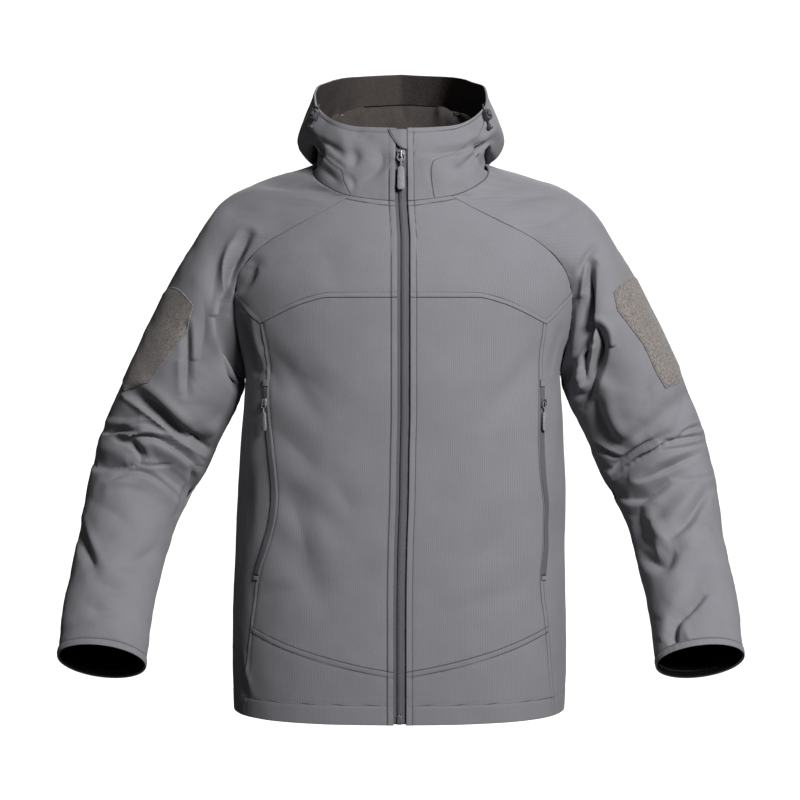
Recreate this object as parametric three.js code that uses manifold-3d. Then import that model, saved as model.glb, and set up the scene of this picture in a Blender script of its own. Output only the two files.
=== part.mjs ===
// A hooded softshell jacket, zipped up and filled out as if worn, in millimetres.
// +Z is up, the front faces -Y, and +X is the wearer's left. The origin is on the body's axis at
// the height of the shoulder line, where the wearer's neck and shoulders carry the garment.
import * as THREE from "three";
import { mergeVertices } from "three/addons/utils/BufferGeometryUtils.js";
import Module from "manifold-3d";

const wasm = await Module();
wasm.setup();

// Driving sizes
const CLOTH = 2; // bonded softshell, face to fleece
const SEAM_GAP = 0.3; // between two sewn pieces
const FOLD_GAP = 0.6; // a sleeve's own gap where it folds sharply away from the body
const LAID_GAP = 0.35; // between a panel and what lies on it
const HOOD_INSET = 0.25; // how far each hood piece's edge is drawn back, as its seams curve sharply
const HEM_Z = -711;
const ZIP_HALF_OPENING = 9; // from the centre line to a front edge
const NECK_TOP = 31; // the collar's top edge at the centre front
const UNDERARM_Z = -280;
const CUFF_BAND = 9;
const CUFF_SIDES = 24;
const ZIP_STOP_Z = 26;
const SLIDER_Z = -3;

const SHELL = new THREE.MeshStandardMaterial({ color: 0x7d7c80, roughness: 0.85, metalness: 0 });
const LOOP = new THREE.MeshStandardMaterial({ color: 0x86807d, roughness: 1, metalness: 0 });
const TAPE = new THREE.MeshStandardMaterial({ color: 0x56555a, roughness: 0.8, metalness: 0 });
const RUBBER = new THREE.MeshStandardMaterial({ color: 0x808085, roughness: 0.6, metalness: 0 });
const METAL = new THREE.MeshStandardMaterial({ color: 0xa8a8aa, roughness: 0.35, metalness: 0.9 });
const PLASTIC = new THREE.MeshStandardMaterial({ color: 0x5e5e62, roughness: 0.5, metalness: 0 });

// Cross-sections of the body at heights z. power is 2 for an ellipse, more for a squarer section.
// sway carries a section towards +X, since the garment hangs a little to that side.
const BODY = [
  { z: -711, halfWidth: 215, front: 136, back: 130, power: 2.5, sway: -2 },
  { z: -650, halfWidth: 217, front: 138, back: 131, power: 2.5, sway: -2 },
  { z: -572, halfWidth: 216, front: 139, back: 130, power: 2.45, sway: -2 },
  { z: -494, halfWidth: 214, front: 139, back: 127, power: 2.4, sway: -1 },
  { z: -432, halfWidth: 213, front: 138, back: 124, power: 2.4, sway: 1 },
  { z: -369, halfWidth: 210, front: 138, back: 125, power: 2.35, sway: 2 },
  { z: -322, halfWidth: 207, front: 139, back: 128, power: 2.3, sway: 3 },
  { z: -280, halfWidth: 204, front: 140, back: 131, power: 2.25, sway: 3 },
  { z: -250, halfWidth: 210, front: 139, back: 132, power: 2.2, sway: 3 },
  { z: -225, halfWidth: 217, front: 138, back: 132, power: 2.2, sway: 3 },
  { z: -200, halfWidth: 223, front: 137, back: 131, power: 2.2, sway: 3 },
  { z: -175, halfWidth: 227, front: 135, back: 129, power: 2.2, sway: 3 },
  { z: -150, halfWidth: 228, front: 131, back: 127, power: 2.2, sway: 3 },
  { z: -131, halfWidth: 226, front: 127, back: 124, power: 2.2, sway: 3 },
  { z: -107, halfWidth: 216, front: 120, back: 118, power: 2.15, sway: 3 },
  { z: -90, halfWidth: 203, front: 114, back: 113, power: 2.1, sway: 2 },
  { z: -75, halfWidth: 186, front: 109, back: 108, power: 2.1, sway: 1 },
  { z: -54, halfWidth: 160, front: 101, back: 102, power: 2.1, sway: 0 },
  { z: -30, halfWidth: 131, front: 93, back: 96, power: 2.1, sway: 0 },
  { z: -6, halfWidth: 109, front: 86, back: 90, power: 2.1, sway: 0 },
  { z: 12, halfWidth: 99, front: 82, back: 86, power: 2.1, sway: 0 },
];
// Height of the neck seam round the body, by the angle from the centre front in degrees.
const NECK = [
  { angle: 0, z: -62 },
  { angle: 33, z: -54 },
  { angle: 60, z: -32 },
  { angle: 75, z: -17 },
  { angle: 90, z: -6 },
  { angle: 120, z: 1 },
  { angle: 150, z: 7 },
  { angle: 180, z: 9 },
];
// Raglan seams from the underarm to the neck. x and y give the seam's place round the body, and
// turn the angle round the sleeve that the seam's point runs into (0 top, 90 front, 180 underarm).
const RAGLAN_FRONT = [
  { z: -280, x: 204, y: 0, turn: 180 },
  { z: -258, x: 209, y: -16, turn: 154 },
  { z: -232, x: 215, y: -29, turn: 132 },
  { z: -205, x: 219, y: -41, turn: 113 },
  { z: -178, x: 217, y: -50, turn: 97 },
  { z: -150, x: 211, y: -63, turn: 84 },
  { z: -131, x: 200, y: -74, turn: 75 },
  { z: -107, x: 169, y: -84, turn: 60 },
  { z: -90, x: 136, y: -90, turn: 47 },
  { z: -75, x: 104, y: -93, turn: 35 },
  { z: -40, x: 45, y: -96, turn: 19 },
];
const RAGLAN_BACK = [
  { z: -280, x: 204, y: 0, turn: -180 },
  { z: -262, x: 208, y: 15, turn: -155 },
  { z: -235, x: 212, y: 32, turn: -132 },
  { z: -200, x: 212, y: 50, turn: -110 },
  { z: -165, x: 206, y: 64, turn: -93 },
  { z: -130, x: 192, y: 80, turn: -80 },
  { z: -95, x: 168, y: 88, turn: -65 },
  { z: -60, x: 136, y: 90, turn: -50 },
  { z: -25, x: 98, y: 86, turn: -35 },
  { z: 12, x: 44, y: 84, turn: -19 },
];
// Chest seam: level from the zip, down to the pocket seam, then up to the raglan seam.
const CHEST_SEAM = [
  { x: 0, z: -181 },
  { x: 92, z: -181 },
  { x: 120, z: -187 },
  { x: 150, z: -199 },
  { x: 180, z: -214 },
];
const CHEST_SEAM_END_Z = -180; // where it meets the raglan seam
const HEM_SEAM = [
  { x: 0, z: -646 },
  { x: 45, z: -638 },
  { x: 100, z: -625 },
  { x: 150, z: -610 },
  { x: 188, z: -595 },
];
// Pocket seam from the hem to the chest seam, on each side.
const POCKET_SEAM = {
  left: [
    { z: -711, x: 198 },
    { z: -650, x: 193 },
    { z: -595, x: 188 },
    { z: -530, x: 181 },
    { z: -490, x: 184 },
    { z: -450, x: 184 },
    { z: -400, x: 177 },
    { z: -330, x: 174 },
    { z: -270, x: 175 },
    { z: -214, x: 180 },
  ],
  right: [
    { z: -711, x: 200 },
    { z: -650, x: 194 },
    { z: -595, x: 188 },
    { z: -530, x: 180 },
    { z: -490, x: 169 },
    { z: -440, x: 161 },
    { z: -400, x: 162 },
    { z: -330, x: 171 },
    { z: -270, x: 173 },
    { z: -214, x: 180 },
  ],
};
const TAB_SIDES = 10;
const TAB_SQUARENESS = 0.55; // 1 for an ellipse, less for a squarer section
const BOX_WIDTH = 5.2;
const BOX_DEPTH = 3.5;
const BOX_HEIGHT = 11;
const BOX_IN = 1.5;
// The flap over the zip's top, as a sheet across the centre line.
const GARAGE = {
  low: 4, high: 29.5, pointX: 6, topX: -19, edgeX: 8.5, curve: 1.5, along: 6, across: 4,
  height: 0.45, thickness: 1.4,
};
const LOCK = {
  column: 2, row: 12, lift: 0.35, width: 10, height: 15, depth: 8, bore: 3.6, boreDepth: 6,
  button: { radius: 2.6, travel: 2, proud: 2 }, ball: 2.6,
  cord: [
    { down: 0, halfWidth: 1.4, halfDepth: 1.4 },
    { down: 9, halfWidth: 1.4, halfDepth: 1.4 },
  ],
  feed: [
    { down: 0, halfWidth: 1.4, halfDepth: 1.4 },
    { down: 8, halfWidth: 1.4, halfDepth: 1.4 },
  ],
};
const POCKET_ZIP = { top: -293, bottom: -530, slider: -312, garage: 9, endBox: 6,
  half: 4, height: 0.5, thickness: 1.2, radius: 200 };
// Rings of the sleeve from the armhole to the cuff. tilt turns the outer side from straight up
// towards the side, pitch leans the arm forward, bow carries the ring's front and back outward, and
// sway carries both arms towards +X.
const SLEEVE = [
  { x: 214, y: 5, z: -167, tilt: 4, pitch: 0, out: 119, depth: 68, bow: 20, sway: 3 },
  { x: 242, y: 8, z: -205, tilt: 21, pitch: 0, out: 97, depth: 80, bow: 4, sway: 4 },
  { x: 257, y: 10, z: -232, tilt: 30, pitch: 0, out: 89, depth: 80, bow: 0, sway: 4 },
  { x: 273, y: 12, z: -265, tilt: 42, pitch: 0, out: 81, depth: 77, bow: 0, sway: 4 },
  { x: 290, y: 15, z: -298, tilt: 56, pitch: 0, out: 75, depth: 74, bow: 0, sway: 4 },
  { x: 307, y: 18, z: -335, tilt: 66, pitch: 0, out: 73, depth: 71, bow: 0, sway: 4 },
  { x: 323, y: 21, z: -373, tilt: 67, pitch: 5, out: 73, depth: 69, bow: 0, sway: 3 },
  { x: 341, y: 20, z: -415, tilt: 70, pitch: 15, out: 68, depth: 65, bow: 0, sway: 2 },
  { x: 354, y: -3, z: -465, tilt: 78, pitch: 30, out: 61, depth: 60, bow: 0, sway: 1 },
  { x: 362, y: -43, z: -521, tilt: 84, pitch: 38, out: 57, depth: 54, bow: 0, sway: 0 },
  { x: 369, y: -88, z: -575, tilt: 84, pitch: 38, out: 56, depth: 47, bow: 0, sway: 0 },
  { x: 371, y: -125, z: -625, tilt: 84, pitch: 38, out: 55, depth: 42, bow: 0, sway: 0 },
];
const OVERARM_TURN = 9; // the overarm seam runs a little forward of the top
// The hood's cloth at angles round the neck: it rises to a crest, falls into the pouch behind the
// neck and rises again to the rim. Each pair is how far out from the neck seam, and the height.
const HOOD = [
  { angle: 0, crestOut: -2, crestZ: -32, floorOut: -5, floorZ: -14,
    bulgeOut: -8, bulgeZ: 4, rimOut: -13, rimZ: 31 },
  { angle: 33, crestOut: -2, crestZ: -27, floorOut: -5, floorZ: -9,
    bulgeOut: -9, bulgeZ: 9, rimOut: -17, rimZ: 34 },
  { angle: 60, crestOut: -3, crestZ: -8, floorOut: -4, floorZ: 7,
    bulgeOut: -6, bulgeZ: 24, rimOut: -17, rimZ: 47 },
  { angle: 78, crestOut: -5, crestZ: 12, floorOut: 2, floorZ: 17,
    bulgeOut: 11, bulgeZ: 34, rimOut: -3, rimZ: 68 },
  { angle: 98, crestOut: -8, crestZ: 43, floorOut: 10, floorZ: 5,
    bulgeOut: 30, bulgeZ: 22, rimOut: 6, rimZ: 92 },
  { angle: 125, crestOut: -4, crestZ: 65, floorOut: 29, floorZ: -8,
    bulgeOut: 57, bulgeZ: 24, rimOut: 18, rimZ: 108 },
  { angle: 150, crestOut: 4, crestZ: 74, floorOut: 52, floorZ: -34,
    bulgeOut: 88, bulgeZ: 26, rimOut: 50, rimZ: 121 },
  { angle: 180, crestOut: 9, crestZ: 78, floorOut: 64, floorZ: -42,
    bulgeOut: 108, bulgeZ: 28, rimOut: 78, rimZ: 130 },
];
// The seam between the collar and the hood's side on each side, from the neck seam to the rim: it
// goes straight up, then outward under the fold beside the face, to the cord lock.
const COLLAR_SEAM = {
  left: [
    { share: 0, angle: 22.6 },
    { share: 0.3, angle: 21 },
    { share: 0.5, angle: 23 },
    { share: 0.62, angle: 40 },
    { share: 0.8, angle: 62 },
    { share: 1, angle: 76 },
  ],
  right: [
    { share: 0, angle: 33.2 },
    { share: 0.12, angle: 38 },
    { share: 0.3, angle: 42 },
    { share: 0.42, angle: 52 },
    { share: 0.6, angle: 68 },
    { share: 0.8, angle: 78 },
    { share: 1, angle: 84 },
  ],
};
const COLLAR_STEPS = { left: 5, right: 8 }; // how many of the yoke's steps a collar takes
const HOOD_RADIUS = 105;
const HOOD_LENGTH = 110;
// Largest folds, as soft troughs: depth is how far the cloth falls in.
// On the body from and to are [angle, z], and on a sleeve [turn, ring].
const BODY_FOLDS = {
  left: [
    { from: [62, -250], to: [40, -330], width: 16, depth: 4 },
    { from: [70, -440], to: [78, -520], width: 18, depth: 4 },
  ],
  right: [
    { from: [62, -245], to: [42, -330], width: 16, depth: 5 },
    { from: [56, -420], to: [30, -470], width: 20, depth: 5 },
    { from: [56, -470], to: [36, -560], width: 20, depth: 5 },
    { from: [78, -360], to: [80, -560], width: 16, depth: 6 },
  ],
};
// On the hood from and to are [angle, share of the way from the neck seam to the rim].
const HOOD_FOLDS = {
  left: [
    { from: [84, 0.66], to: [40, 0.3], width: 9, depth: 6 },
    { from: [112, 0.72], to: [98, 0.95], width: 12, depth: 6 },
    { from: [150, 0.7], to: [142, 0.96], width: 14, depth: 6 },
  ],
  right: [
    { from: [80, 0.7], to: [36, 0.55], width: 11, depth: 4.5 },
    { from: [92, 0.45], to: [66, 0.3], width: 9, depth: 5 },
    { from: [108, 0.74], to: [100, 0.96], width: 12, depth: 6 },
    { from: [162, 0.7], to: [168, 0.96], width: 14, depth: 6 },
  ],
};
const SLEEVE_FOLDS = {
  left: [
    { from: [150, 5.6], to: [30, 4.9], width: 14, depth: 9 },
    { from: [170, 6.9], to: [70, 6.1], width: 15, depth: 9 },
    { from: [150, 8.6], to: [60, 7.3], width: 15, depth: 7 },
    { from: [120, 10.2], to: [50, 9.1], width: 15, depth: 5 },
    { from: [120, 0.6], to: [100, 3.4], width: 14, depth: 7 },
    { from: [-30, 6.2], to: [-140, 6.8], width: 16, depth: 6 },
    { from: [-60, 8.0], to: [-150, 8.4], width: 16, depth: 5 },
  ],
  right: [
    { from: [165, 5.9], to: [40, 4.7], width: 14, depth: 9 },
    { from: [170, 6.7], to: [50, 6.3], width: 15, depth: 8 },
    { from: [60, 7.6], to: [150, 7.9], width: 16, depth: 6 },
    { from: [150, 9.4], to: [50, 8.8], width: 15, depth: 4 },
    { from: [125, 0.4], to: [105, 3.2], width: 14, depth: 8 },
    { from: [-30, 6.2], to: [-140, 6.8], width: 16, depth: 6 },
    { from: [-60, 8.0], to: [-150, 8.4], width: 16, depth: 5 },
  ],
};
// The hook-and-loop panel on the upper arm, by ring along the sleeve: the turns of its two edges.
const PATCH = { thickness: 1.2, gap: 0.95, squeeze: 0.4, rows: [
  { ring: 1.75, back: -16, front: 20 },
  { ring: 2.35, back: -40, front: 56 },
  { ring: 3.1, back: -42, front: 58 },
  { ring: 4.1, back: -42, front: 48 },
  { ring: 4.8, back: -40, front: 38 },
  { ring: 5.5, back: -14, front: 18 },
] };

// How many grid steps each stretch of seam has. Pieces that meet share a seam's points.
const STEPS = {
  chestInner: 6, chestOuter: 2, yoke: 5, front: 10, hemPanel: 2, raglanFront: 4,
  raglanBack: 8, neckSide: 3, back: 9, sleeve: 18, hood: 13,
};

const radians = THREE.MathUtils.degToRad;
const lerp = THREE.MathUtils.lerp;
const clamp = THREE.MathUtils.clamp;
const smooth = (low, high, x) => THREE.MathUtils.smoothstep(x, low, high);
const point = (x, y, z) => new THREE.Vector3(x, y, z);
const between = (from, to) => to.clone().sub(from).normalize();

// A smooth curve through one column of a table, which never overshoots between two rows.
function column(rows, key, name) {
  const xs = rows.map((row) => row[key]);
  const ys = rows.map((row) => row[name]);
  const steps = xs.slice(1).map((x, i) => x - xs[i]);
  const slopes = steps.map((step, i) => (ys[i + 1] - ys[i]) / step);
  const tangents = xs.map((_, i) => {
    if (i === 0) return slopes[0];
    if (i === xs.length - 1) return slopes[i - 1];
    const before = slopes[i - 1];
    const after = slopes[i];
    if (before * after <= 0) return 0;
    const wide = 2 * steps[i] + steps[i - 1];
    const narrow = steps[i] + 2 * steps[i - 1];
    return (wide + narrow) / (wide / before + narrow / after);
  });
  return (x) => {
    let i = 0;
    while (i < xs.length - 2 && x > xs[i + 1]) i += 1;
    const u = clamp((x - xs[i]) / steps[i], 0, 1);
    const start = ys[i] * (1 + 2 * u) * (1 - u) ** 2 + ys[i + 1] * u * u * (3 - 2 * u);
    return start + steps[i] * u * (1 - u) * (tangents[i] * (1 - u) - tangents[i + 1] * u);
  };
}
const columns = (rows, key, names) =>
  Object.fromEntries(names.map((name) => [name, column(rows, key, name)]));

const body = columns(BODY, "z", ["halfWidth", "front", "back", "power", "sway"]);
const neckZ = column(NECK, "angle", "z");
const hood = columns(HOOD, "angle", Object.keys(HOOD[0]).filter((name) => name !== "angle"));
const FRONT_EDGE_ANGLE = 5; // about where a front edge runs into the neck seam
const sideName = (side) => (side > 0 ? "left" : "right");

// How deep a set of folds is at a place, given the place's distance in mm from each fold's line.
function foldDepth(folds, place, scale) {
  let depth = 0;
  for (const fold of folds) {
    const from = scale(fold.from);
    const along = scale(fold.to).sub(from);
    const offset = scale(place).sub(from);
    const share = clamp(offset.dot(along) / along.lengthSq(), 0, 1);
    const away = offset.sub(along.clone().multiplyScalar(share)).length() / fold.width;
    const fade = Math.sin(Math.PI * clamp(0.12 + 0.76 * share, 0, 1));
    depth += fold.depth * fade * Math.exp(-away * away);
  }
  return depth;
}
const BODY_RADIUS = 170;
const bodyScale = ([angle, z]) => new THREE.Vector2(radians(angle) * BODY_RADIUS, z);
const SLEEVE_RADIUS = 62;
const RING_SPACING = 45;
const sleeveScale = ([turn, ring]) =>
  new THREE.Vector2(radians(turn) * SLEEVE_RADIUS, ring * RING_SPACING);

// The body's outer surface, at an angle in degrees from the centre front and a height.
function bodySection(angle, z) {
  const a = radians(angle);
  const depth = Math.abs(angle) <= 90 ? body.front(z) : body.back(z);
  const power = body.power(z);
  const reach = (Math.abs(Math.sin(a)) / body.halfWidth(z)) ** power
    + (Math.abs(Math.cos(a)) / depth) ** power;
  const radius = reach ** (-1 / power)
    - foldDepth(BODY_FOLDS[sideName(angle)], [Math.abs(angle), z], bodyScale);
  return point(radius * Math.sin(a) + body.sway(z), -radius * Math.cos(a), z);
}
// The angle round the body of the place that lies x mm from the centre line on its front.
function angleAt(x, z) {
  const share = clamp(x / body.halfWidth(z), 0, 1);
  const depth = body.front(z) * (1 - share ** body.power(z)) ** (1 / body.power(z));
  return THREE.MathUtils.radToDeg(Math.atan2(x, depth));
}
const direction = (rows) => rows.map((row) => ({
  z: row.z,
  turn: row.turn,
  angle: THREE.MathUtils.radToDeg(Math.atan2(row.x, -row.y)),
}));
const raglanFront = columns(direction(RAGLAN_FRONT), "z", ["angle", "turn"]);
const raglanBack = columns(direction(RAGLAN_BACK), "z", ["angle", "turn"]);
// The height at which a raglan seam runs into the neck seam.
function neckEnd(seam, low, high) {
  for (let i = 0; i < 40; i += 1) {
    const middle = (low + high) / 2;
    if (middle < neckZ(seam.angle(middle))) low = middle;
    else high = middle;
  }
  return low;
}
const FRONT_CORNER_Z = neckEnd(raglanFront, -75, -40);
const BACK_CORNER_Z = neckEnd(raglanBack, -25, 12);
const FRONT_CORNER = raglanFront.angle(FRONT_CORNER_Z);
const BACK_CORNER = raglanBack.angle(BACK_CORNER_Z);

// Seams as lists of [angle, z] on one side, each with a fixed number of steps.
const steps = (count, at) => Array.from({ length: count + 1 }, (_, i) => at(i / count));
const along = (start, end, share) => lerp(start, end, share);
function seams(side) {
  const pocket = POCKET_SEAM[sideName(side)];
  const pocketX = column(pocket, "z", "x");
  const chestZ = column(CHEST_SEAM, "x", "z");
  const hemZ = column(HEM_SEAM, "x", "z");
  const cornerX = CHEST_SEAM.at(-1).x;
  const cornerZ = CHEST_SEAM.at(-1).z;
  const lowX = HEM_SEAM.at(-1).x;
  const lowZ = HEM_SEAM.at(-1).z;
  const acrossAt = (x, z) => [angleAt(x, z), z];
  const chestInner = steps(STEPS.chestInner, (s) => {
    const x = along(ZIP_HALF_OPENING, cornerX, s);
    return acrossAt(x, chestZ(x));
  });
  const chestOuter = steps(STEPS.chestOuter, (s) => {
    const z = along(cornerZ, CHEST_SEAM_END_Z, s);
    return [along(angleAt(cornerX, cornerZ), raglanFront.angle(CHEST_SEAM_END_Z), s), z];
  });
  const hemSeam = steps(STEPS.chestInner, (s) => {
    const x = along(ZIP_HALF_OPENING, lowX, s);
    return acrossAt(x, hemZ(x));
  });
  const edge = (low, high, count) => steps(count, (s) => {
    const z = along(low, high, s);
    return acrossAt(ZIP_HALF_OPENING, z);
  });
  const pocketLine = (low, high, count) => steps(count, (s) => {
    const z = along(low, high, s);
    return acrossAt(pocketX(z), z);
  });
  return {
    chestInner,
    chestOuter,
    hemSeam,
    hemInner: steps(STEPS.chestInner, (s) => acrossAt(along(ZIP_HALF_OPENING, pocketX(HEM_Z), s), HEM_Z)),
    hemOuter: steps(STEPS.chestOuter + STEPS.raglanFront, (s) => [
      along(angleAt(pocketX(HEM_Z), HEM_Z), 90, s), HEM_Z]),
    edgeHem: edge(HEM_Z, hemZ(ZIP_HALF_OPENING), STEPS.hemPanel),
    edgeFront: edge(hemZ(ZIP_HALF_OPENING), chestZ(ZIP_HALF_OPENING), STEPS.front),
    edgeYoke: edge(chestZ(ZIP_HALF_OPENING), neckZ(FRONT_EDGE_ANGLE), STEPS.yoke),
    pocketLow: pocketLine(HEM_Z, lowZ, STEPS.hemPanel),
    pocketHigh: pocketLine(lowZ, cornerZ, STEPS.front),
    sideSeam: steps(STEPS.hemPanel + STEPS.front, (s) => [90, along(HEM_Z, UNDERARM_Z, s)]),
    raglanYoke: steps(STEPS.yoke, (s) => {
      const z = along(CHEST_SEAM_END_Z, FRONT_CORNER_Z, s);
      return [raglanFront.angle(z), z];
    }),
    raglanSide: steps(STEPS.raglanFront, (s) => {
      const z = along(CHEST_SEAM_END_Z, UNDERARM_Z, s);
      return [raglanFront.angle(z), z];
    }),
    raglanBack: steps(STEPS.raglanBack, (s) => {
      const z = along(UNDERARM_Z, BACK_CORNER_Z, s);
      return [raglanBack.angle(z), z];
    }),
    neckFront: steps(STEPS.chestInner + STEPS.chestOuter, (s) => {
      const angle = along(angleAt(ZIP_HALF_OPENING, neckZ(FRONT_EDGE_ANGLE)), FRONT_CORNER, s);
      return [angle, neckZ(angle)];
    }),
    neckSide: [
      ...steps(STEPS.neckSide, (s) => along(FRONT_CORNER, 90, s)),
      ...steps(STEPS.neckSide, (s) => along(90, BACK_CORNER, s)).slice(1),
    ].map((angle) => [angle, neckZ(angle)]),
  };
}
const SEAMS = { 1: seams(1), [-1]: seams(-1) };
const neckBack = steps(STEPS.back, (s) => {
  const angle = along(BACK_CORNER, 360 - BACK_CORNER, s);
  return [angle, neckZ(Math.min(angle, 360 - angle))];
});

// The points between four edges that share their corners, blended across the patch.
function patch(bottom, top, left, right) {
  const across = bottom.length - 1;
  const up = left.length - 1;
  return left.map((start, j) => bottom.map((_, i) => {
    const s = i / across;
    const t = j / up;
    return [0, 1].map((k) => lerp(bottom[i][k], top[i][k], t) + lerp(start[k], right[j][k], s)
      - lerp(lerp(bottom[0][k], bottom[across][k], s), lerp(top[0][k], top[across][k], s), t));
  }));
}

// The outward direction at each point of a grid.
function gridNormals(rows, { closed = false, flip = false } = {}) {
  const up = rows.length - 1;
  const width = rows[0].length;
  const at = (j, i) => rows[clamp(j, 0, up)][closed ? (i + width) % width : clamp(i, 0, width - 1)];
  return rows.map((row, j) => row.map((_, i) => {
    const right = at(j, i + 1).clone().sub(at(j, i - 1));
    const upward = at(j + 1, i).clone().sub(at(j - 1, i));
    const face = right.cross(upward).normalize();
    return flip ? face.negate() : face;
  }));
}
// A wall from rows of outer points. Its inner side lies thickness further in, and the edges of
// open grids are drawn back from the seam by half its gap. Columns run so that rows x columns
// points out.
function wall(rows, options = {}) {
  const { thickness = CLOTH, closed = false, normals = null, inset = SEAM_GAP / 2, flip = false } = options;
  const up = rows.length - 1;
  const across = rows[0].length - 1;
  const at = (j, i) => rows[clamp(j, 0, up)][closed ? (i + across + 1) % (across + 1) : clamp(i, 0, across)];
  const faces = normals ?? gridNormals(rows, { closed, flip });
  const outer = rows.map((row, j) => row.map((place, i) => {
    const moved = place.clone();
    const alongRow = at(j, i + 1).clone().sub(at(j, i - 1)).normalize();
    const alongColumn = at(j + 1, i).clone().sub(at(j - 1, i)).normalize();
    const draw = (neighbour, edge) => {
      const inward = neighbour.clone().sub(place);
      moved.add(inward.addScaledVector(edge, -inward.dot(edge)).setLength(inset));
    };
    if (j === 0) draw(at(1, i), alongRow);
    if (j === up) draw(at(up - 1, i), alongRow);
    if (!closed && i === 0) draw(at(j, 1), alongColumn);
    if (!closed && i === across) draw(at(j, across - 1), alongColumn);
    return moved;
  }));
  const inner = outer.map((row, j) => row.map((place, i) =>
    place.clone().addScaledVector(faces[j][i], -thickness)));
  const grid = [...outer.flat(), ...inner.flat()];
  const width = across + 1;
  const half = width * (up + 1);
  const index = [];
  const quad = (a, b, c, d) => (flip ? index.push(a, c, b, a, d, c) : index.push(a, b, c, a, c, d));
  const last = closed ? width : across;
  for (let j = 0; j < up; j += 1) {
    for (let i = 0; i < last; i += 1) {
      const next = (i + 1) % width;
      const [a, b, c, d] = [j * width + i, j * width + next, (j + 1) * width + next, (j + 1) * width + i];
      quad(a, b, c, d);
      quad(half + a, half + d, half + c, half + b);
    }
  }
  for (let i = 0; i < last; i += 1) {
    const next = (i + 1) % width;
    quad(half + i, half + next, next, i);
    quad(up * width + i, up * width + next, half + up * width + next, half + up * width + i);
  }
  if (!closed) {
    for (let j = 0; j < up; j += 1) {
      const [low, high] = [j * width, (j + 1) * width];
      quad(half + low, low, high, half + high);
      quad(low + across, half + low + across, half + high + across, high + across);
    }
  }
  const geometry = new THREE.BufferGeometry();
  geometry.setAttribute("position", new THREE.Float32BufferAttribute(grid.flatMap((p) => p.toArray()), 3));
  geometry.setIndex(index);
  return geometry;
}

// Mirrors a list of [angle, z] to one side of the body.
const onSide = (side, line) => line.map(([angle, z]) => [side * angle, z]);
const bodyNormal = ([angle, z]) => {
  const stepAngle = 0.5;
  const stepZ = 1;
  const right = bodySection(angle + stepAngle, z).sub(bodySection(angle - stepAngle, z));
  const upward = bodySection(angle, z + stepZ).sub(bodySection(angle, z - stepZ));
  return right.cross(upward).normalize();
};
// A panel of the body between four seams on one side.
function bodyPanel(side, bottom, top, left, right) {
  const cells = patch(...[bottom, top, left, right].map((line) => onSide(side, line)));
  const rows = cells.map((row) => row.map(([angle, z]) => bodySection(angle, z)));
  const normals = cells.map((row) => row.map(bodyNormal));
  return wall(rows, { normals, flip: side < 0 });
}

const group = new THREE.Group();
function add(name, geometry, material) {
  const mesh = new THREE.Mesh(geometry, material);
  mesh.name = name;
  group.add(mesh);
  return mesh;
}

// Body: yoke, front, hem panel and side on each side, and one back.
for (const side of [1, -1]) {
  const seam = SEAMS[side];
  const name = sideName(side);
  add(`yoke_${name}`, bodyPanel(side, [...seam.chestInner, ...seam.chestOuter.slice(1)],
    seam.neckFront, seam.edgeYoke, seam.raglanYoke), SHELL);
  add(`front_${name}`,
    bodyPanel(side, seam.hemSeam, seam.chestInner, seam.edgeFront, seam.pocketHigh), SHELL);
  add(`hem_panel_${name}`,
    bodyPanel(side, seam.hemInner, seam.hemSeam, seam.edgeHem, seam.pocketLow), SHELL);
  add(`side_${name}`, bodyPanel(side, seam.hemOuter, [...seam.chestOuter, ...seam.raglanSide.slice(1)],
    [...seam.pocketLow, ...seam.pocketHigh.slice(1)], seam.sideSeam), SHELL);
}
const backEdge = (side) => [...SEAMS[side].sideSeam, ...SEAMS[side].raglanBack.slice(1)];
const mirrored = (line) => line.map(([angle, z]) => [360 - angle, z]);
add("back", (() => {
  const hem = steps(STEPS.back, (s) => [along(90, 270, s), HEM_Z]);
  const cells = patch(hem, neckBack, backEdge(1), mirrored(backEdge(-1)));
  const wrap = ([angle, z]) => [angle > 180 ? angle - 360 : angle, z];
  const rows = cells.map((row) => row.map((cell) => bodySection(...wrap(cell))));
  return wall(rows, { normals: cells.map((row) => row.map((cell) => bodyNormal(wrap(cell)))) });
})(), SHELL);

// Sleeves. A ring's point at a turn round the arm.
function ringPoint(side, ring, turn) {
  const a = radians(turn);
  const tilt = radians(ring.tilt);
  const pitch = radians(ring.pitch);
  const outward = point(Math.sin(tilt), 0, Math.cos(tilt));
  const forward = point(
    -Math.cos(tilt) * Math.sin(pitch), -Math.cos(pitch), Math.sin(tilt) * Math.sin(pitch));
  const place = point(ring.x + ring.bow * Math.abs(Math.sin(a)), ring.y, ring.z)
    .addScaledVector(outward, ring.out * Math.cos(a))
    .addScaledVector(forward, ring.depth * Math.sin(a));
  return place.setX(side * place.x + ring.sway);
}
// Where the sleeve starts: the loop of the neck and raglan seams, as [turn, angle, z].
function sleeveHead(side, half) {
  const seam = SEAMS[side];
  const neck = seam.neckSide.map(([angle, z]) => {
    const corner = angle < 90 ? raglanFront.turn(FRONT_CORNER_Z) : raglanBack.turn(BACK_CORNER_Z);
    const end = angle < 90 ? FRONT_CORNER : BACK_CORNER;
    return [lerp(OVERARM_TURN, corner, (angle - 90) / (end - 90)), angle, z];
  });
  if (half === "front") {
    const yoke = seam.raglanYoke.map(([angle, z]) => [raglanFront.turn(z), angle, z]).reverse();
    const low = seam.raglanSide.map(([angle, z]) => [raglanFront.turn(z), angle, z]);
    return [...neck.slice(0, STEPS.neckSide + 1).reverse(), ...yoke.slice(1), ...low.slice(1)];
  }
  const back = seam.raglanBack.map(([angle, z]) => [raglanBack.turn(z), angle, z]).reverse();
  return [...neck.slice(STEPS.neckSide), ...back.slice(1)];
}
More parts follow.
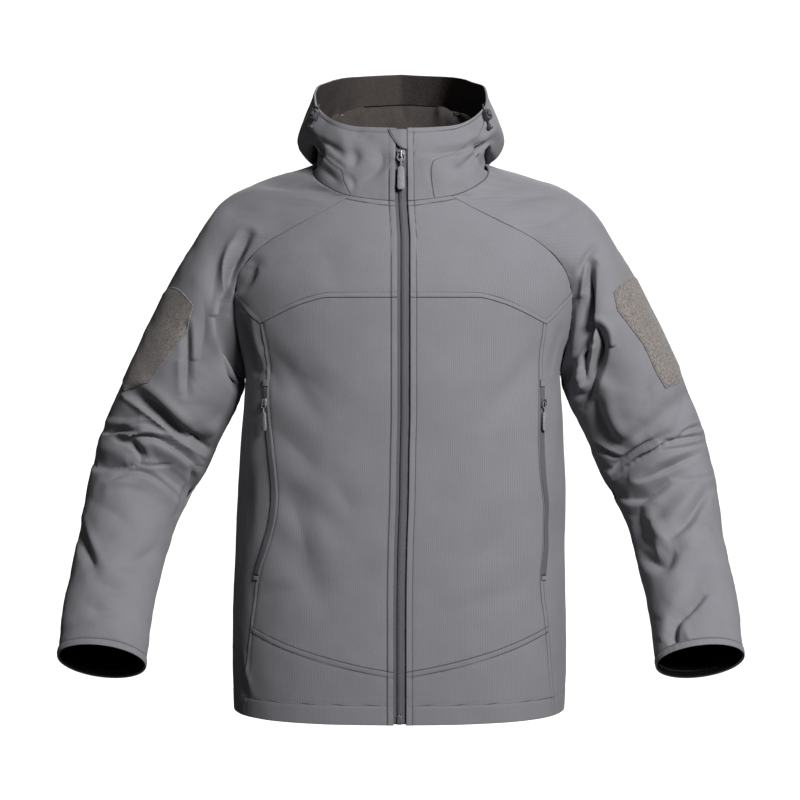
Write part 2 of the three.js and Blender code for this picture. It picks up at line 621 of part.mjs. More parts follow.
// One lengthwise line of a sleeve from its head to its cuff; ring -1 is the head.
function sleeveLine(side, [turn, angle, z]) {
  const start = bodySection(side * angle, z);
  const line = new THREE.CatmullRomCurve3([start, ...SLEEVE.map((ring) => ringPoint(side, ring, turn))],
    false, "centripetal");
  return (ring) => line.getPoint(clamp((ring + 1) / SLEEVE.length, 0, 1));
}
const LAST_RING = SLEEVE.length - 1;
const centreAt = (side, ring) => {
  const low = clamp(Math.floor(ring), 0, LAST_RING - 1);
  const share = clamp(ring - low, 0, 1);
  const [a, b] = [SLEEVE[low], SLEEVE[low + 1]];
  return point(side * lerp(a.x, b.x, share) + lerp(a.sway, b.sway, share), lerp(a.y, b.y, share),
    lerp(a.z, b.z, share));
};
// A sleeve's point with its folds pressed in towards the arm's centre line.
function sleevePoint(side, line, turn, ring) {
  const place = line(ring);
  const depth = foldDepth(SLEEVE_FOLDS[sideName(side)], [turn, ring], sleeveScale) * smooth(-0.6, 0.4, ring);
  const inward = centreAt(side, ring).sub(place).normalize();
  return place.addScaledVector(inward, depth);
}
const sleeveRings = steps(STEPS.sleeve, (s) => lerp(-1, LAST_RING, s));
// The whole sleeve as one loop of lengthwise lines, from the overarm seam round the front, so that
// its two halves share the places and the directions of both their seams.
function sleeveLoop(side) {
  const front = sleeveHead(side, "front");
  const back = sleeveHead(side, "back").reverse();
  const head = [...front, ...back.slice(1, -1)];
  const lines = head.map((start) => sleeveLine(side, start));
  const rows = sleeveRings.map((ring) => lines.map((line, i) => sleevePoint(side, line, head[i][0], ring)));
  const count = head.length;
  const outward = (j, i) => {
    const right = rows[j][(i + 1) % count].clone().sub(rows[j][(i + count - 1) % count]);
    const low = rows[Math.max(j - 1, 0)][i];
    const high = rows[Math.min(j + 1, rows.length - 1)][i];
    return right.cross(high.clone().sub(low)).normalize().multiplyScalar(side);
  };
  const normals = rows.map((row, j) => row.map((_, i) => outward(j, i)));
  // Where the sleeve runs on from the body the two share a direction, and where it folds away
  // it keeps its own and stands a little further off.
  head.forEach(([, angle, z], i) => {
    const own = normals[0][i];
    const shared = bodyNormal([side * angle, z]);
    const start = between(rows[0][i], rows[1][i]);
    const onNeck = z > neckZ(angle) - 1;
    const turnsUp = smooth(0.25, 0.5, start.dot(shared));
    const turnsOver = 1 - smooth(-0.1, 0.3, own.dot(shared));
    const away = onNeck ? 0 : Math.max(turnsUp, turnsOver);
    own.lerp(shared, 1 - away).normalize();
    rows[0][i].addScaledVector(start, SEAM_GAP + FOLD_GAP * away);
  });
  const turns = head.map(([turn], i) => (i < front.length ? turn : turn + 360));
  return { rows, normals, turns, split: front.length - 1, count };
}
const LOOPS = { 1: sleeveLoop(1), [-1]: sleeveLoop(-1) };
function sleeveHalf(side, half) {
  const { rows, normals, split, count } = LOOPS[side];
  const picked = half === "front" ? steps(split, (s) => Math.round(s * split))
    : steps(count - split, (s) => (split + Math.round(s * (count - split))) % count);
  const pick = (grid) => grid.map((row) => picked.map((i) => row[i]));
  return wall(pick(rows), { flip: side < 0, normals: pick(normals) });
}
for (const side of [1, -1]) {
  const name = sideName(side);
  add(`sleeve_front_${name}`, sleeveHalf(side, "front"), SHELL);
  add(`sleeve_back_${name}`, sleeveHalf(side, "back"), SHELL);
  const last = SLEEVE[LAST_RING];
  const before = SLEEVE[LAST_RING - 1];
  const way = point(last.x - before.x, last.y - before.y, last.z - before.z).normalize();
  const turns = Array.from({ length: CUFF_SIDES }, (_, i) => (i * 360) / CUFF_SIDES);
  const band = [SEAM_GAP, CUFF_BAND / 2, CUFF_BAND].map((far, j) => turns.map((turn) => {
    const ring = { ...last, x: last.x + way.x * far, y: last.y + way.y * far, z: last.z + way.z * far };
    const swell = j === 1 ? 0.8 : 0;
    return ringPoint(side, { ...ring, out: ring.out + swell, depth: ring.depth + swell }, turn);
  }));
  add(`cuff_${name}`, wall(band, { closed: true, inset: 0, flip: side < 0, thickness: 2.4 }), SHELL);
}

// Hood. A column runs from the neck seam over the crest and the pouch's floor up to the rim.
const HOOD_LINE = ["crest", "floor", "bulge", "rim"];
function hoodLine(angle) {
  const away = Math.min(angle, 360 - angle);
  const side = angle > 180 ? -1 : 1;
  const base = bodySection(side * away, neckZ(away));
  const a = radians(side * away);
  const out = point(Math.sin(a), -Math.cos(a), 0);
  const places = HOOD_LINE.map((name) => base.clone()
    .addScaledVector(out, hood[`${name}Out`](away)).setZ(hood[`${name}Z`](away)));
  const line = new THREE.CatmullRomCurve3([base, ...places], false, "centripetal");
  return { line, out };
}
const hoodScale = ([angle, share]) => new THREE.Vector2(radians(angle) * HOOD_RADIUS, share * HOOD_LENGTH);
function hoodPoint(angle, share) {
  const away = Math.min(angle, 360 - angle);
  const { line, out } = hoodLine(angle);
  const folds = HOOD_FOLDS[angle > 180 ? "right" : "left"];
  const depth = foldDepth(folds, [away, share], hoodScale) * smooth(0, 0.12, share);
  return line.getPoint(share).addScaledVector(out, -depth);
}
const hoodNormal = (angle, share) => {
  const right = hoodPoint(angle + 0.5, share).sub(hoodPoint(angle - 0.5, share));
  const upward = hoodPoint(angle, Math.min(share + 0.01, 1)).sub(hoodPoint(angle, Math.max(share - 0.01, 0)));
  return right.cross(upward).normalize();
};
// A piece of the hood. at(share) gives the angles of its columns at that share.
function hoodPiece(at) {
  const shares = steps(STEPS.hood, (s) => s);
  const rows = shares.map((share) => at(share).map((angle) => hoodPoint(angle, share)));
  const normals = shares.map((share, j) => at(share).map((angle) => (j === 0
    ? bodyNormal([angle > 180 ? angle - 360 : angle, neckZ(Math.min(angle, 360 - angle))])
    : hoodNormal(angle, share))));
  return wall(rows, { normals, inset: HOOD_INSET });
}
// The hood's columns stand on the neck seam's own points, and follow the collar's seam upward.
const frontAngles = SEAMS[1].neckFront.map(([angle]) => angle);
const sideAngles = SEAMS[1].neckSide.map(([angle]) => angle).slice(1);
const acrossTo = (angles) => angles.map((angle) => 360 - angle).reverse();
for (const side of [1, -1]) {
  const name = sideName(side);
  const seamAngle = column(COLLAR_SEAM[name], "share", "angle");
  const count = COLLAR_STEPS[name];
  const [low, foot, high] = [frontAngles[0], frontAngles[count], sideAngles.at(-1)];
  const collar = (share) => frontAngles.slice(0, count + 1)
    .map((angle) => lerp(low, seamAngle(share), (angle - low) / (foot - low)));
  const hoodSide = (share) => [...frontAngles.slice(count), ...sideAngles]
    .map((angle) => lerp(seamAngle(share), high, (angle - foot) / (high - foot)));
  const onThisSide = (at) => (share) => (side > 0 ? at(share) : acrossTo(at(share)));
  // At the neck seam the columns keep to its points.
  const exact = (at, own) => (share) => (share === 0 ? own : at(share));
  const collarFoot = frontAngles.slice(0, count + 1);
  const sideFoot = [...frontAngles.slice(count), ...sideAngles];
  add(`collar_${name}`, hoodPiece(onThisSide(exact(collar, collarFoot))), SHELL);
  add(`hood_side_${name}`, hoodPiece(onThisSide(exact(hoodSide, sideFoot))), SHELL);
}
add("hood_crown", hoodPiece(() => neckBack.map(([angle]) => angle)), SHELL);

// What lies on a surface: rows of its points moved out by a height, then given a thickness.
function laid(rows, { height = LAID_GAP, thickness, flip = false }) {
  const normals = gridNormals(rows, { flip });
  const raised = rows.map((row, j) => row.map((place, i) =>
    place.clone().addScaledVector(normals[j][i], height + thickness)));
  return wall(raised, { thickness, flip, normals, inset: 0 });
}

// Loop panels on the upper arms, from the sleeves' own points. A turn before the overarm seam lies
// on the back half.
const patchEdges = columns(PATCH.rows, "ring", ["back", "front"]);
function armPoint(side, turn, ring) {
  const { rows, turns, count } = LOOPS[side];
  const round = turn < turns[0] ? turn + 360 : turn;
  let i = 0;
  while (i < count - 1 && round > turns[i + 1]) i += 1;
  const across = (round - turns[i]) / ((turns[i + 1] ?? turns[0] + 360) - turns[i]);
  const along = ((ring + 1) / (LAST_RING + 1)) * STEPS.sleeve;
  const j = Math.min(Math.floor(along), STEPS.sleeve - 1);
  const [low, high] = [rows[j], rows[j + 1]].map((row) => row[i].clone().lerp(row[(i + 1) % count], across));
  return low.lerp(high, along - j);
}
// Its rows and columns take in the sleeve's own, and columns beyond an edge are squeezed against it.
for (const side of [1, -1]) {
  const [first, last] = [PATCH.rows[0].ring, PATCH.rows.at(-1).ring];
  const rings = [first, ...steps(2 * STEPS.sleeve, (s) => lerp(-1, LAST_RING, s))
    .filter((ring) => ring > first && ring < last), last];
  const widest = [
    Math.min(...PATCH.rows.map((row) => row.back)),
    Math.max(...PATCH.rows.map((row) => row.front)),
  ];
  const turns = [widest[0], ...LOOPS[side].turns.map((turn) => (turn > 180 ? turn - 360 : turn))
    .filter((turn) => turn > widest[0] && turn < widest[1]).sort((a, b) => a - b), widest[1]];
  const rows = rings.map((ring) => turns.map((turn, k) => {
    const low = patchEdges.back(ring) + k * PATCH.squeeze;
    const high = patchEdges.front(ring) - (turns.length - 1 - k) * PATCH.squeeze;
    return armPoint(side, clamp(turn, low, high), ring);
  }));
  add(`loop_panel_${sideName(side)}`,
    laid(rows, { height: PATCH.gap, thickness: PATCH.thickness, flip: side < 0 }), LOOP);
}

// Front zip. A place on the front at an offset from the centre line, up to the collar's top.
const bodyEdgeRows = [...SEAMS[1].edgeHem, ...SEAMS[1].edgeFront.slice(1), ...SEAMS[1].edgeYoke.slice(1, -1)]
  .map(([, z]) => (offset) => {
    const side = Math.sign(offset) || 1;
    return bodySection(side * angleAt(Math.abs(offset), z), z);
  });
const collarRows = steps(STEPS.hood, (s) => (offset) => {
  const angle = angleAt(Math.abs(offset), neckZ(FRONT_EDGE_ANGLE));
  return hoodPoint(offset < 0 ? 360 - angle : angle, s);
});
const frontRows = [...bodyEdgeRows, ...collarRows];
function frontStrip(from, to, height, thickness, bottom, top) {
  const inside = frontRows.filter((row) => row(0).z > bottom && row(0).z < top);
  const below = frontRows[frontRows.indexOf(inside[0]) - 1];
  const share = (bottom - below(0).z) / (inside[0](0).z - below(0).z);
  const rows = [(x) => below(x).lerp(inside[0](x), share), ...inside].map((row) => [row(from), row(to)]);
  const normals = gridNormals(rows);
  const moved = rows.map((row, j) => row.map((place, i) =>
    place.clone().addScaledVector(normals[j][i], height)));
  return wall(moved, { thickness, normals, inset: 0 });
}
const ZIP = { chainHalf: 2.5, tapeInner: 2.9, tapeOuter: 13, tapeWall: 0.8, chainWall: 2.2, chainSunk: 0.6 };
const tapeSunk = -(CLOTH + LAID_GAP);
const tapeStrip = (from, to) => frontStrip(from, to, tapeSunk, ZIP.tapeWall, HEM_Z + 1, NECK_TOP - 1);
add("zip_tape_left", tapeStrip(ZIP.tapeInner, ZIP.tapeOuter), TAPE);
add("zip_tape_right", tapeStrip(-ZIP.tapeOuter, -ZIP.tapeInner), TAPE);
add("zip_chain", frontStrip(-ZIP.chainHalf, ZIP.chainHalf, -ZIP.chainSunk, ZIP.chainWall,
  HEM_Z + BOX_HEIGHT + 2, ZIP_STOP_Z), TAPE);

// Joins closed geometries into one solid.
function solid(geometry) {
  const merged = mergeVertices(geometry.clone().deleteAttribute("normal").deleteAttribute("uv"), 1e-3);
  const mesh = new wasm.Mesh({
    numProp: 3,
    vertProperties: new Float32Array(merged.attributes.position.array),
    triVerts: new Uint32Array(merged.index.array),
  });
  return new wasm.Manifold(mesh);
}
function asGeometry(shape) {
  const mesh = shape.getMesh();
  const geometry = new THREE.BufferGeometry();
  geometry.setAttribute("position", new THREE.Float32BufferAttribute(mesh.vertProperties, 3));
  geometry.setIndex(Array.from(mesh.triVerts));
  return geometry;
}
const join = (...pieces) => asGeometry(wasm.Manifold.union(pieces.map(solid)));
const cut = (whole, piece) => asGeometry(solid(whole).subtract(solid(piece)));
const box = (width, depth, height, x, y, z) =>
  new THREE.BoxGeometry(width, depth, height).translate(x, y, z);
const rod = (radius, length, x, y, z, axis, sides = 12) => {
  const geometry = new THREE.CylinderGeometry(radius, radius, length, sides);
  if (axis === "x") geometry.rotateZ(Math.PI / 2);
  if (axis === "z") geometry.rotateX(Math.PI / 2);
  return geometry.translate(x, y, z);
};
// A soft-edged tab hanging along -z from its top, through sections of half width and half depth.
function tab(top, sections) {
  const ring = ({ down, halfWidth, halfDepth }) => Array.from({ length: TAB_SIDES }, (_, i) => {
    const a = ((i + 0.5) * 2 * Math.PI) / TAB_SIDES;
    const round = (v) => Math.sign(v) * Math.abs(v) ** TAB_SQUARENESS;
    return point(halfWidth * round(Math.cos(a)), halfDepth * round(Math.sin(a)), top - down);
  });
  return loft(sections.map(ring).reverse());
}
// A closed solid through rings of equal counts, with a flat cap on each end.
function loft(rings) {
  const count = rings[0].length;
  const middle = (ring) => ring.reduce((sum, p) => sum.add(p), point(0, 0, 0)).divideScalar(count);
  const places = [...rings.flat(), middle(rings[0]), middle(rings.at(-1))];
  const lastRing = (rings.length - 1) * count;
  const [start, end] = [rings.length * count, rings.length * count + 1];
  const index = [];
  for (let i = 0; i < count; i += 1) {
    const next = (i + 1) % count;
    for (let j = 0; j < lastRing; j += count) {
      index.push(j + i, j + next, j + count + next, j + i, j + count + next, j + count + i);
    }
    index.push(start, next, i, end, lastRing + i, lastRing + next);
  }
  const geometry = new THREE.BufferGeometry();
  geometry.setAttribute("position", new THREE.Float32BufferAttribute(places.flatMap((p) => p.toArray()), 3));
  geometry.setIndex(index);
  return geometry;
}
// Stands a piece on a surface: x to the right as seen from outside, y into the cloth, z along up.
function standing(geometry, place, outward, up) {
  const y = outward.clone().negate();
  const z = up.clone().addScaledVector(outward, -up.dot(outward)).normalize();
  const x = y.clone().cross(z);
  return geometry.clone().applyMatrix4(new THREE.Matrix4().makeBasis(x, y, z).setPosition(place));
}

// A slider with its bridge, and its hanging pull, both about the slider's middle.
function slider({ width, height, depth, lift, bridge }) {
  const face = -(lift + depth);
  const reach = bridge.hole + bridge.wall;
  return join(
    box(width, depth, height, 0, face + depth / 2, 0),
    box(width * 0.62, depth, height * 0.3, 0, face + depth / 2, -height * 0.6),
    box(bridge.width, reach + 0.2, bridge.wall, 0, face - reach / 2 + 0.1, bridge.half),
    box(bridge.width, reach + 0.2, bridge.wall, 0, face - reach / 2 + 0.1, -bridge.half),
    box(bridge.width, bridge.wall, 2 * bridge.half, 0, face - reach + bridge.wall / 2, 0),
  );
}
function pull({ depth, lift, bridge, ring, cord, tab: sections }) {
  const y = -(lift + depth + bridge.hole / 2);
  const loop = new THREE.TorusGeometry(ring.radius, ring.tube, 6, 14).rotateX(Math.PI / 2)
    .translate(0, y, bridge.pin - ring.radius);
  const low = bridge.pin - 2 * ring.radius;
  const pieces = [loop, rod(cord.radius, cord.length, 0, y, low - cord.length / 2 + 0.4, "z")];
  pieces.push(tab(low - cord.length + 2, sections).translate(0, y, 0));
  return join(...pieces);
}
const FRONT_SLIDER = {
  width: 9, height: 12, depth: 2.4, lift: 0.4 - ZIP.chainSunk,
  bridge: { width: 2, wall: 1, half: 3.6, hole: 3.2, pin: 0.8 },
  ring: { radius: 4.8, tube: 0.8 },
  cord: { radius: 1, length: 9 },
  tab: [
    { down: 0, halfWidth: 2.4, halfDepth: 1.3 },
    { down: 2.5, halfWidth: 4.2, halfDepth: 1.7 },
    { down: 16, halfWidth: 4.6, halfDepth: 1.7 },
    { down: 26, halfWidth: 5, halfDepth: 1.7 },
    { down: 29, halfWidth: 3.6, halfDepth: 1.3 },
  ],
};
const POCKET_SLIDER = {
  width: 6.5, height: 9, depth: 2, lift: POCKET_ZIP.height + POCKET_ZIP.thickness + 0.3,
  bridge: { width: 1.8, wall: 0.9, half: 2.9, hole: 2.8, pin: 0.5 },
  ring: { radius: 4, tube: 0.7 },
  cord: { radius: 0.9, length: 7 },
  tab: [
    { down: 0, halfWidth: 2, halfDepth: 1.1 },
    { down: 2.5, halfWidth: 3.6, halfDepth: 1.4 },
    { down: 15, halfWidth: 3.9, halfDepth: 1.4 },
    { down: 21, halfWidth: 4.1, halfDepth: 1.4 },
    { down: 23.5, halfWidth: 2.8, halfDepth: 1.1 },
  ],
};
const frontFace = (z, x = 0) => {
  const rows = frontRows.map((row) => row(x));
  const j = Math.max(1, rows.findIndex((place) => place.z > z));
  return rows[j - 1].clone().lerp(rows[j], (z - rows[j - 1].z) / (rows[j].z - rows[j - 1].z));
};
{
  const place = frontFace(SLIDER_Z);
  const up = between(frontFace(SLIDER_Z - 8), frontFace(SLIDER_Z + 8));
  const outward = up.clone().cross(point(1, 0, 0)).negate().normalize();
  const out = outward.y < 0 ? outward : outward.negate();
  add("front_slider", standing(slider(FRONT_SLIDER), place, out, up), METAL);
  add("front_pull", standing(pull(FRONT_SLIDER), place, out, up), RUBBER);
  const foot = frontFace(HEM_Z + BOX_HEIGHT / 2 + 1);
  add("zip_box", standing(box(BOX_WIDTH, BOX_DEPTH, BOX_HEIGHT, 0, 0, 0), foot.add(point(0, BOX_IN, 0)),
    point(0, -1, 0), point(0, 0, 1)), METAL);
}
// The flap over the top of the zip, from a point low on its left edge to a wide top.
add("zip_garage", (() => {
  const rows = steps(GARAGE.along, (s) => steps(GARAGE.across, (u) => {
    const left = lerp(GARAGE.pointX, GARAGE.topX, s ** GARAGE.curve);
    return frontFace(lerp(GARAGE.low, GARAGE.high, s), lerp(left, GARAGE.edgeX, u));
  }));
  return laid(rows, { height: GARAGE.height, thickness: GARAGE.thickness });
})(), SHELL);

// Pocket zips, each on its seam.
for (const side of [1, -1]) {
  const name = sideName(side);
  const seamX = column(POCKET_SEAM[name], "z", "x");
  const seamAt = (z, offset = 0) => {
    const angle = angleAt(seamX(z), z);
    const across = THREE.MathUtils.radToDeg(offset / POCKET_ZIP.radius);
    return bodySection(side * angle + across, z);
  };
  const strip = (top, bottom, half, count) => steps(count, (s) => {
    const z = lerp(bottom, top, s);
    return [-half, 0, half].map((offset) => seamAt(z, offset));
  });
  const { height, thickness } = POCKET_ZIP;
  add(`pocket_zip_${name}`, laid(strip(POCKET_ZIP.top, POCKET_ZIP.bottom, POCKET_ZIP.half, 14),
    { height, thickness }), TAPE);
  add(`pocket_garage_${name}`, laid(strip(POCKET_ZIP.top + 0.4 + POCKET_ZIP.garage, POCKET_ZIP.top + 0.4,
    POCKET_ZIP.half + 0.6, 2), { height: height + 0.5, thickness }), SHELL);
  add(`pocket_stop_${name}`, laid(strip(POCKET_ZIP.bottom - 0.4, POCKET_ZIP.bottom - 0.4 - POCKET_ZIP.endBox,
    POCKET_ZIP.half, 2), { height, thickness }), SHELL);
  const place = seamAt(POCKET_ZIP.slider);
  const up = between(seamAt(POCKET_ZIP.slider - 12), seamAt(POCKET_ZIP.slider + 4));
  const across = between(seamAt(POCKET_ZIP.slider, -3), seamAt(POCKET_ZIP.slider, 3));
  const outward = across.cross(up).normalize();
  add(`pocket_slider_${name}`, standing(slider(POCKET_SLIDER), place, outward, up), METAL);
  add(`pocket_pull_${name}`, standing(pull(POCKET_SLIDER), place, outward, up), RUBBER);
}

// Cord locks beside the hood's rim, each with its button and the cord's free end.
for (const side of [1, -1]) {
  const name = sideName(side);
  const { lift, width, height, depth, bore, boreDepth, button } = LOCK;
  const angle = SEAMS[1].neckSide[LOCK.column][0];
  const share = LOCK.row / STEPS.hood;
  const at = (turn, part) => hoodPoint(side > 0 ? turn : 360 - turn, part);
  const place = at(angle, share);
  const outward = hoodNormal(side > 0 ? angle : 360 - angle, share);
  const up = point(0, 0, 1);
  const face = -(lift + depth);
  const corners = [-1, 1].map((edge) =>
    rod(width / 2, depth, 0, face + depth / 2, edge * (height - width) / 2, "y", 20));
  const block = join(box(width, depth, height - width, 0, face + depth / 2, 0), ...corners);
  const housing = cut(block, rod(bore, 2 * boreDepth, 0, face, 0, "y", 20));
  add(`cord_lock_${name}`, standing(housing, place, outward, up), PLASTIC);
  const length = boreDepth - button.travel - 0.4 + button.proud;
  const press = rod(button.radius, length, 0, face - button.proud + length / 2, 0, "y", 20);
  add(`cord_button_${name}`, standing(press, place, outward, up), PLASTIC);
  const hang = (height / 2) + 0.4;
  const end = join(
    tab(-hang, LOCK.cord).translate(0, face + depth / 2, 0),
    new THREE.SphereGeometry(LOCK.ball, 12, 8).translate(0, face + depth / 2, -hang - LOCK.cord.at(-1).down),
  );
  add(`cord_end_${name}`, standing(end, place, outward, up), PLASTIC);
  const reach = tab(hang + LOCK.feed.at(-1).down, LOCK.feed).translate(0, face + depth / 2, 0);
  add(`cord_feed_${name}`, standing(reach, place, outward, up), PLASTIC);
}

export default group;
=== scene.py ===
import bmesh
import bpy
import math
import numpy as np
from mathutils import Matrix, Vector


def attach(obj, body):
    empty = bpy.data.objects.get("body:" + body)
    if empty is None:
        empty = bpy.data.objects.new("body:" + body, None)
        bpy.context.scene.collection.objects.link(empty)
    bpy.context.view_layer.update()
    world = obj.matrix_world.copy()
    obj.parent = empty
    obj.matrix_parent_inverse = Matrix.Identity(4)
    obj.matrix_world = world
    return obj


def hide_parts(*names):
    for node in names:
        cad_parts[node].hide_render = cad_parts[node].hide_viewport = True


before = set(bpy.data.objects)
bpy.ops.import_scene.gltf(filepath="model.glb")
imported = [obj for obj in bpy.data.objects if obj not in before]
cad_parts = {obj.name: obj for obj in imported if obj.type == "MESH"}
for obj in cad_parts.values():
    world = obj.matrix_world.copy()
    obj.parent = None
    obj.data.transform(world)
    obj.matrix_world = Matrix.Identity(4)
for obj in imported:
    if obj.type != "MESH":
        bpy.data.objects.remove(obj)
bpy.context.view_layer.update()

# The wearer's left side lies at +X
SIDES = {"left": 1, "right": -1}
# Driving sizes in millimetres, as in the part's source
MM = 0.001
CLOTH = 2.0
SEAM_GAP = 0.3
FOLD_GAP = 0.6
HEM_Z = -711.0
UNDERARM_Z = -280.0
CHEST_SEAM_END_Z = -180.0
# From the centre line to the folded edge of each front
ZIP_OPENING = {1: 8.4, -1: 7.0}
FRONT_EDGE_ANGLE = 5.0
OVERARM_TURN = 9.0
BODY_RADIUS = 170.0
SLEEVE_RADIUS = 62.0
RING_SPACING = 45.0
HOOD_RADIUS = 105.0
HOOD_LENGTH = 110.0


def table(names, *rows):
    """The named columns of a table, one row after another."""
    values = np.array(rows, float)
    return {name: values[:, i] for i, name in enumerate(names.split())}


# Cross-sections of the body; power is 2 for an ellipse, more for a squarer section
BODY = table(
    "z half_width front back power sway",
    (-711, 215, 136, 130, 2.5, -2), (-650, 217, 138, 131, 2.5, -2), (-572, 216, 139, 130, 2.45, -2),
    (-494, 214, 139, 127, 2.4, -1), (-432, 213, 138, 124, 2.4, 1), (-369, 210, 138, 125, 2.35, 2),
    (-322, 207, 139, 128, 2.3, 3), (-280, 204, 140, 131, 2.25, 3), (-250, 210, 139, 132, 2.2, 3),
    (-225, 217, 138, 132, 2.2, 3), (-200, 223, 137, 131, 2.2, 3), (-175, 227, 135, 129, 2.2, 3),
    (-150, 228, 131, 127, 2.2, 3), (-131, 226, 127, 124, 2.2, 3), (-107, 216, 120, 118, 2.15, 3),
    (-90, 203, 114, 113, 2.1, 2), (-75, 186, 109, 108, 2.1, 1), (-54, 160, 101, 102, 2.1, 0),
    (-30, 131, 93, 96, 2.1, 0), (-6, 109, 86, 90, 2.1, 0), (12, 99, 82, 86, 2.1, 0),
)
NECK = table(
    "angle z", (0, -62), (33, -54), (60, -32), (75, -17), (90, -6), (120, 1), (150, 7), (180, 9)
)
# Raglan seams; turn is the angle round the sleeve that a seam's point runs into
RAGLAN_FRONT = table(
    "z x y turn",
    (-280, 204, 0, 180), (-258, 209, -16, 154), (-232, 215, -29, 132), (-205, 219, -41, 113),
    (-178, 217, -50, 97), (-150, 211, -63, 84), (-131, 200, -74, 75), (-107, 169, -84, 60),
    (-90, 136, -90, 47), (-75, 104, -93, 35), (-40, 45, -96, 19),
)
RAGLAN_BACK = table(
    "z x y turn",
    (-280, 204, 0, -180), (-262, 208, 15, -155), (-235, 212, 32, -132), (-200, 212, 50, -110),
    (-165, 206, 64, -93), (-130, 192, 80, -80), (-95, 168, 88, -65), (-60, 136, 90, -50),
    (-25, 98, 86, -35), (12, 44, 84, -19),
)
CHEST_SEAM = table("x z", (0, -181), (92, -181), (120, -187), (150, -199), (180, -214))
HEM_SEAM = table("x z", (0, -646), (45, -638), (100, -625), (150, -610), (188, -595))
POCKET_SEAM = {
    1: table(
        "z x",
        (-711, 198), (-650, 193), (-595, 188), (-530, 181), (-490, 184), (-450, 184), (-400, 177),
        (-330, 174), (-270, 175), (-214, 180),
    ),
    -1: table(
        "z x",
        (-711, 200), (-650, 194), (-595, 188), (-530, 180), (-490, 169), (-440, 161), (-400, 162),
        (-330, 171), (-270, 173), (-214, 180),
    ),
}
SLEEVE = table(
    "x y z tilt pitch out depth bow sway",
    (214, 5, -167, 4, 0, 119, 68, 20, 3), (242, 8, -205, 21, 0, 97, 80, 4, 4),
    (257, 10, -232, 30, 0, 89, 80, 0, 4), (273, 12, -265, 42, 0, 81, 77, 0, 4),
    (290, 15, -298, 56, 0, 75, 74, 0, 4), (307, 18, -335, 66, 0, 73, 71, 0, 4),
    (323, 21, -373, 67, 5, 73, 69, 0, 3), (341, 20, -415, 70, 15, 68, 65, 0, 2),
    (354, -3, -465, 78, 30, 61, 60, 0, 1), (362, -43, -521, 84, 38, 57, 54, 0, 0),
    (369, -88, -575, 84, 38, 56, 47, 0, 0), (371, -125, -625, 84, 38, 55, 42, 0, 0),
)
# The hood's cloth by the angle round the neck: how far out from the neck seam, and the height
HOOD = table(
    "angle crest_out crest_z floor_out floor_z bulge_out bulge_z rim_out rim_z",
    (0, -2, -32, -5, -14, -8, 4, -13, 31), (33, -2, -27, -5, -9, -9, 9, -17, 34),
    (60, -3, -8, -4, 7, -6, 24, -17, 47), (78, -5, 12, 2, 17, 11, 34, -3, 68),
    (98, -8, 43, 10, 5, 30, 22, 6, 92), (125, -4, 65, 29, -8, 57, 24, 18, 108),
    (150, 4, 74, 52, -34, 88, 26, 50, 121), (180, 9, 78, 64, -42, 108, 28, 78, 130),
)
# Largest folds, as soft troughs between two places
FOLD = "a0 b0 a1 b1 width depth"
BODY_FOLDS = {
    1: table(FOLD, (62, -250, 40, -330, 16, 4), (70, -440, 78, -520, 18, 4)),
    -1: table(
        FOLD,
        (62, -245, 42, -330, 16, 5), (56, -420, 30, -470, 20, 5), (56, -470, 36, -560, 20, 5),
        (78, -360, 80, -560, 16, 6),
    ),
}
HOOD_FOLDS = {
    1: table(FOLD, (84, 0.66, 40, 0.3, 9, 6), (112, 0.72, 98, 0.95, 12, 6), (150, 0.7, 142, 0.96, 14, 6)),
    -1: table(
        FOLD,
        (80, 0.7, 36, 0.55, 11, 4.5), (92, 0.45, 66, 0.3, 9, 5), (108, 0.74, 100, 0.96, 12, 6),
        (162, 0.7, 168, 0.96, 14, 6),
    ),
}
SLEEVE_FOLDS = {
    1: table(
        FOLD,
        (150, 5.6, 30, 4.9, 14, 9), (170, 6.9, 70, 6.1, 15, 9), (150, 8.6, 60, 7.3, 15, 7),
        (120, 10.2, 50, 9.1, 15, 5), (120, 0.6, 100, 3.4, 14, 7), (-30, 6.2, -140, 6.8, 16, 6),
        (-60, 8.0, -150, 8.4, 16, 5),
    ),
    -1: table(
        FOLD,
        (165, 5.9, 40, 4.7, 14, 9), (170, 6.7, 50, 6.3, 15, 8), (60, 7.6, 150, 7.9, 16, 6),
        (150, 9.4, 50, 8.8, 15, 4), (125, 0.4, 105, 3.2, 14, 8), (-30, 6.2, -140, 6.8, 16, 6),
        (-60, 8.0, -150, 8.4, 16, 5),
    ),
}


def smooth(low, high, x):
    u = np.clip((np.asarray(x, float) - low) / (high - low), 0, 1)
    return u * u * (3 - 2 * u)


def unit(v):
    return v / np.maximum(np.linalg.norm(v, axis=-1, keepdims=True), 1e-9)


def dot(a, b):
    return np.sum(a * b, axis=-1)


def curve(rows, key, name):
    """A smooth function through one column of a table, which never overshoots between two rows."""
    xs, ys = rows[key], rows[name]
    step = np.diff(xs)
    slope = np.diff(ys) / step
    before, after = slope[:-1], slope[1:]
    wide, narrow = 2 * step[1:] + step[:-1], step[1:] + 2 * step[:-1]
    same_way = before * after > 0
    safe = lambda v: np.where(same_way, v, 1)
    inner = np.where(same_way, (wide + narrow) / (wide / safe(before) + narrow / safe(after)), 0)
    tangent = np.concatenate([slope[:1], inner, slope[-1:]])

    def at(x):
        x = np.asarray(x, float)
        i = np.clip(np.searchsorted(xs, x, side="left") - 1, 0, len(step) - 1)
        u = np.clip((x - xs[i]) / step[i], 0, 1)
        level = ys[i] * (1 + 2 * u) * (1 - u) ** 2 + ys[i + 1] * u * u * (3 - 2 * u)
        return level + step[i] * u * (1 - u) * (tangent[i] * (1 - u) - tangent[i + 1] * u)

    return at


def curves(rows, key):
    return {name: curve(rows, key, name) for name in rows if name != key}


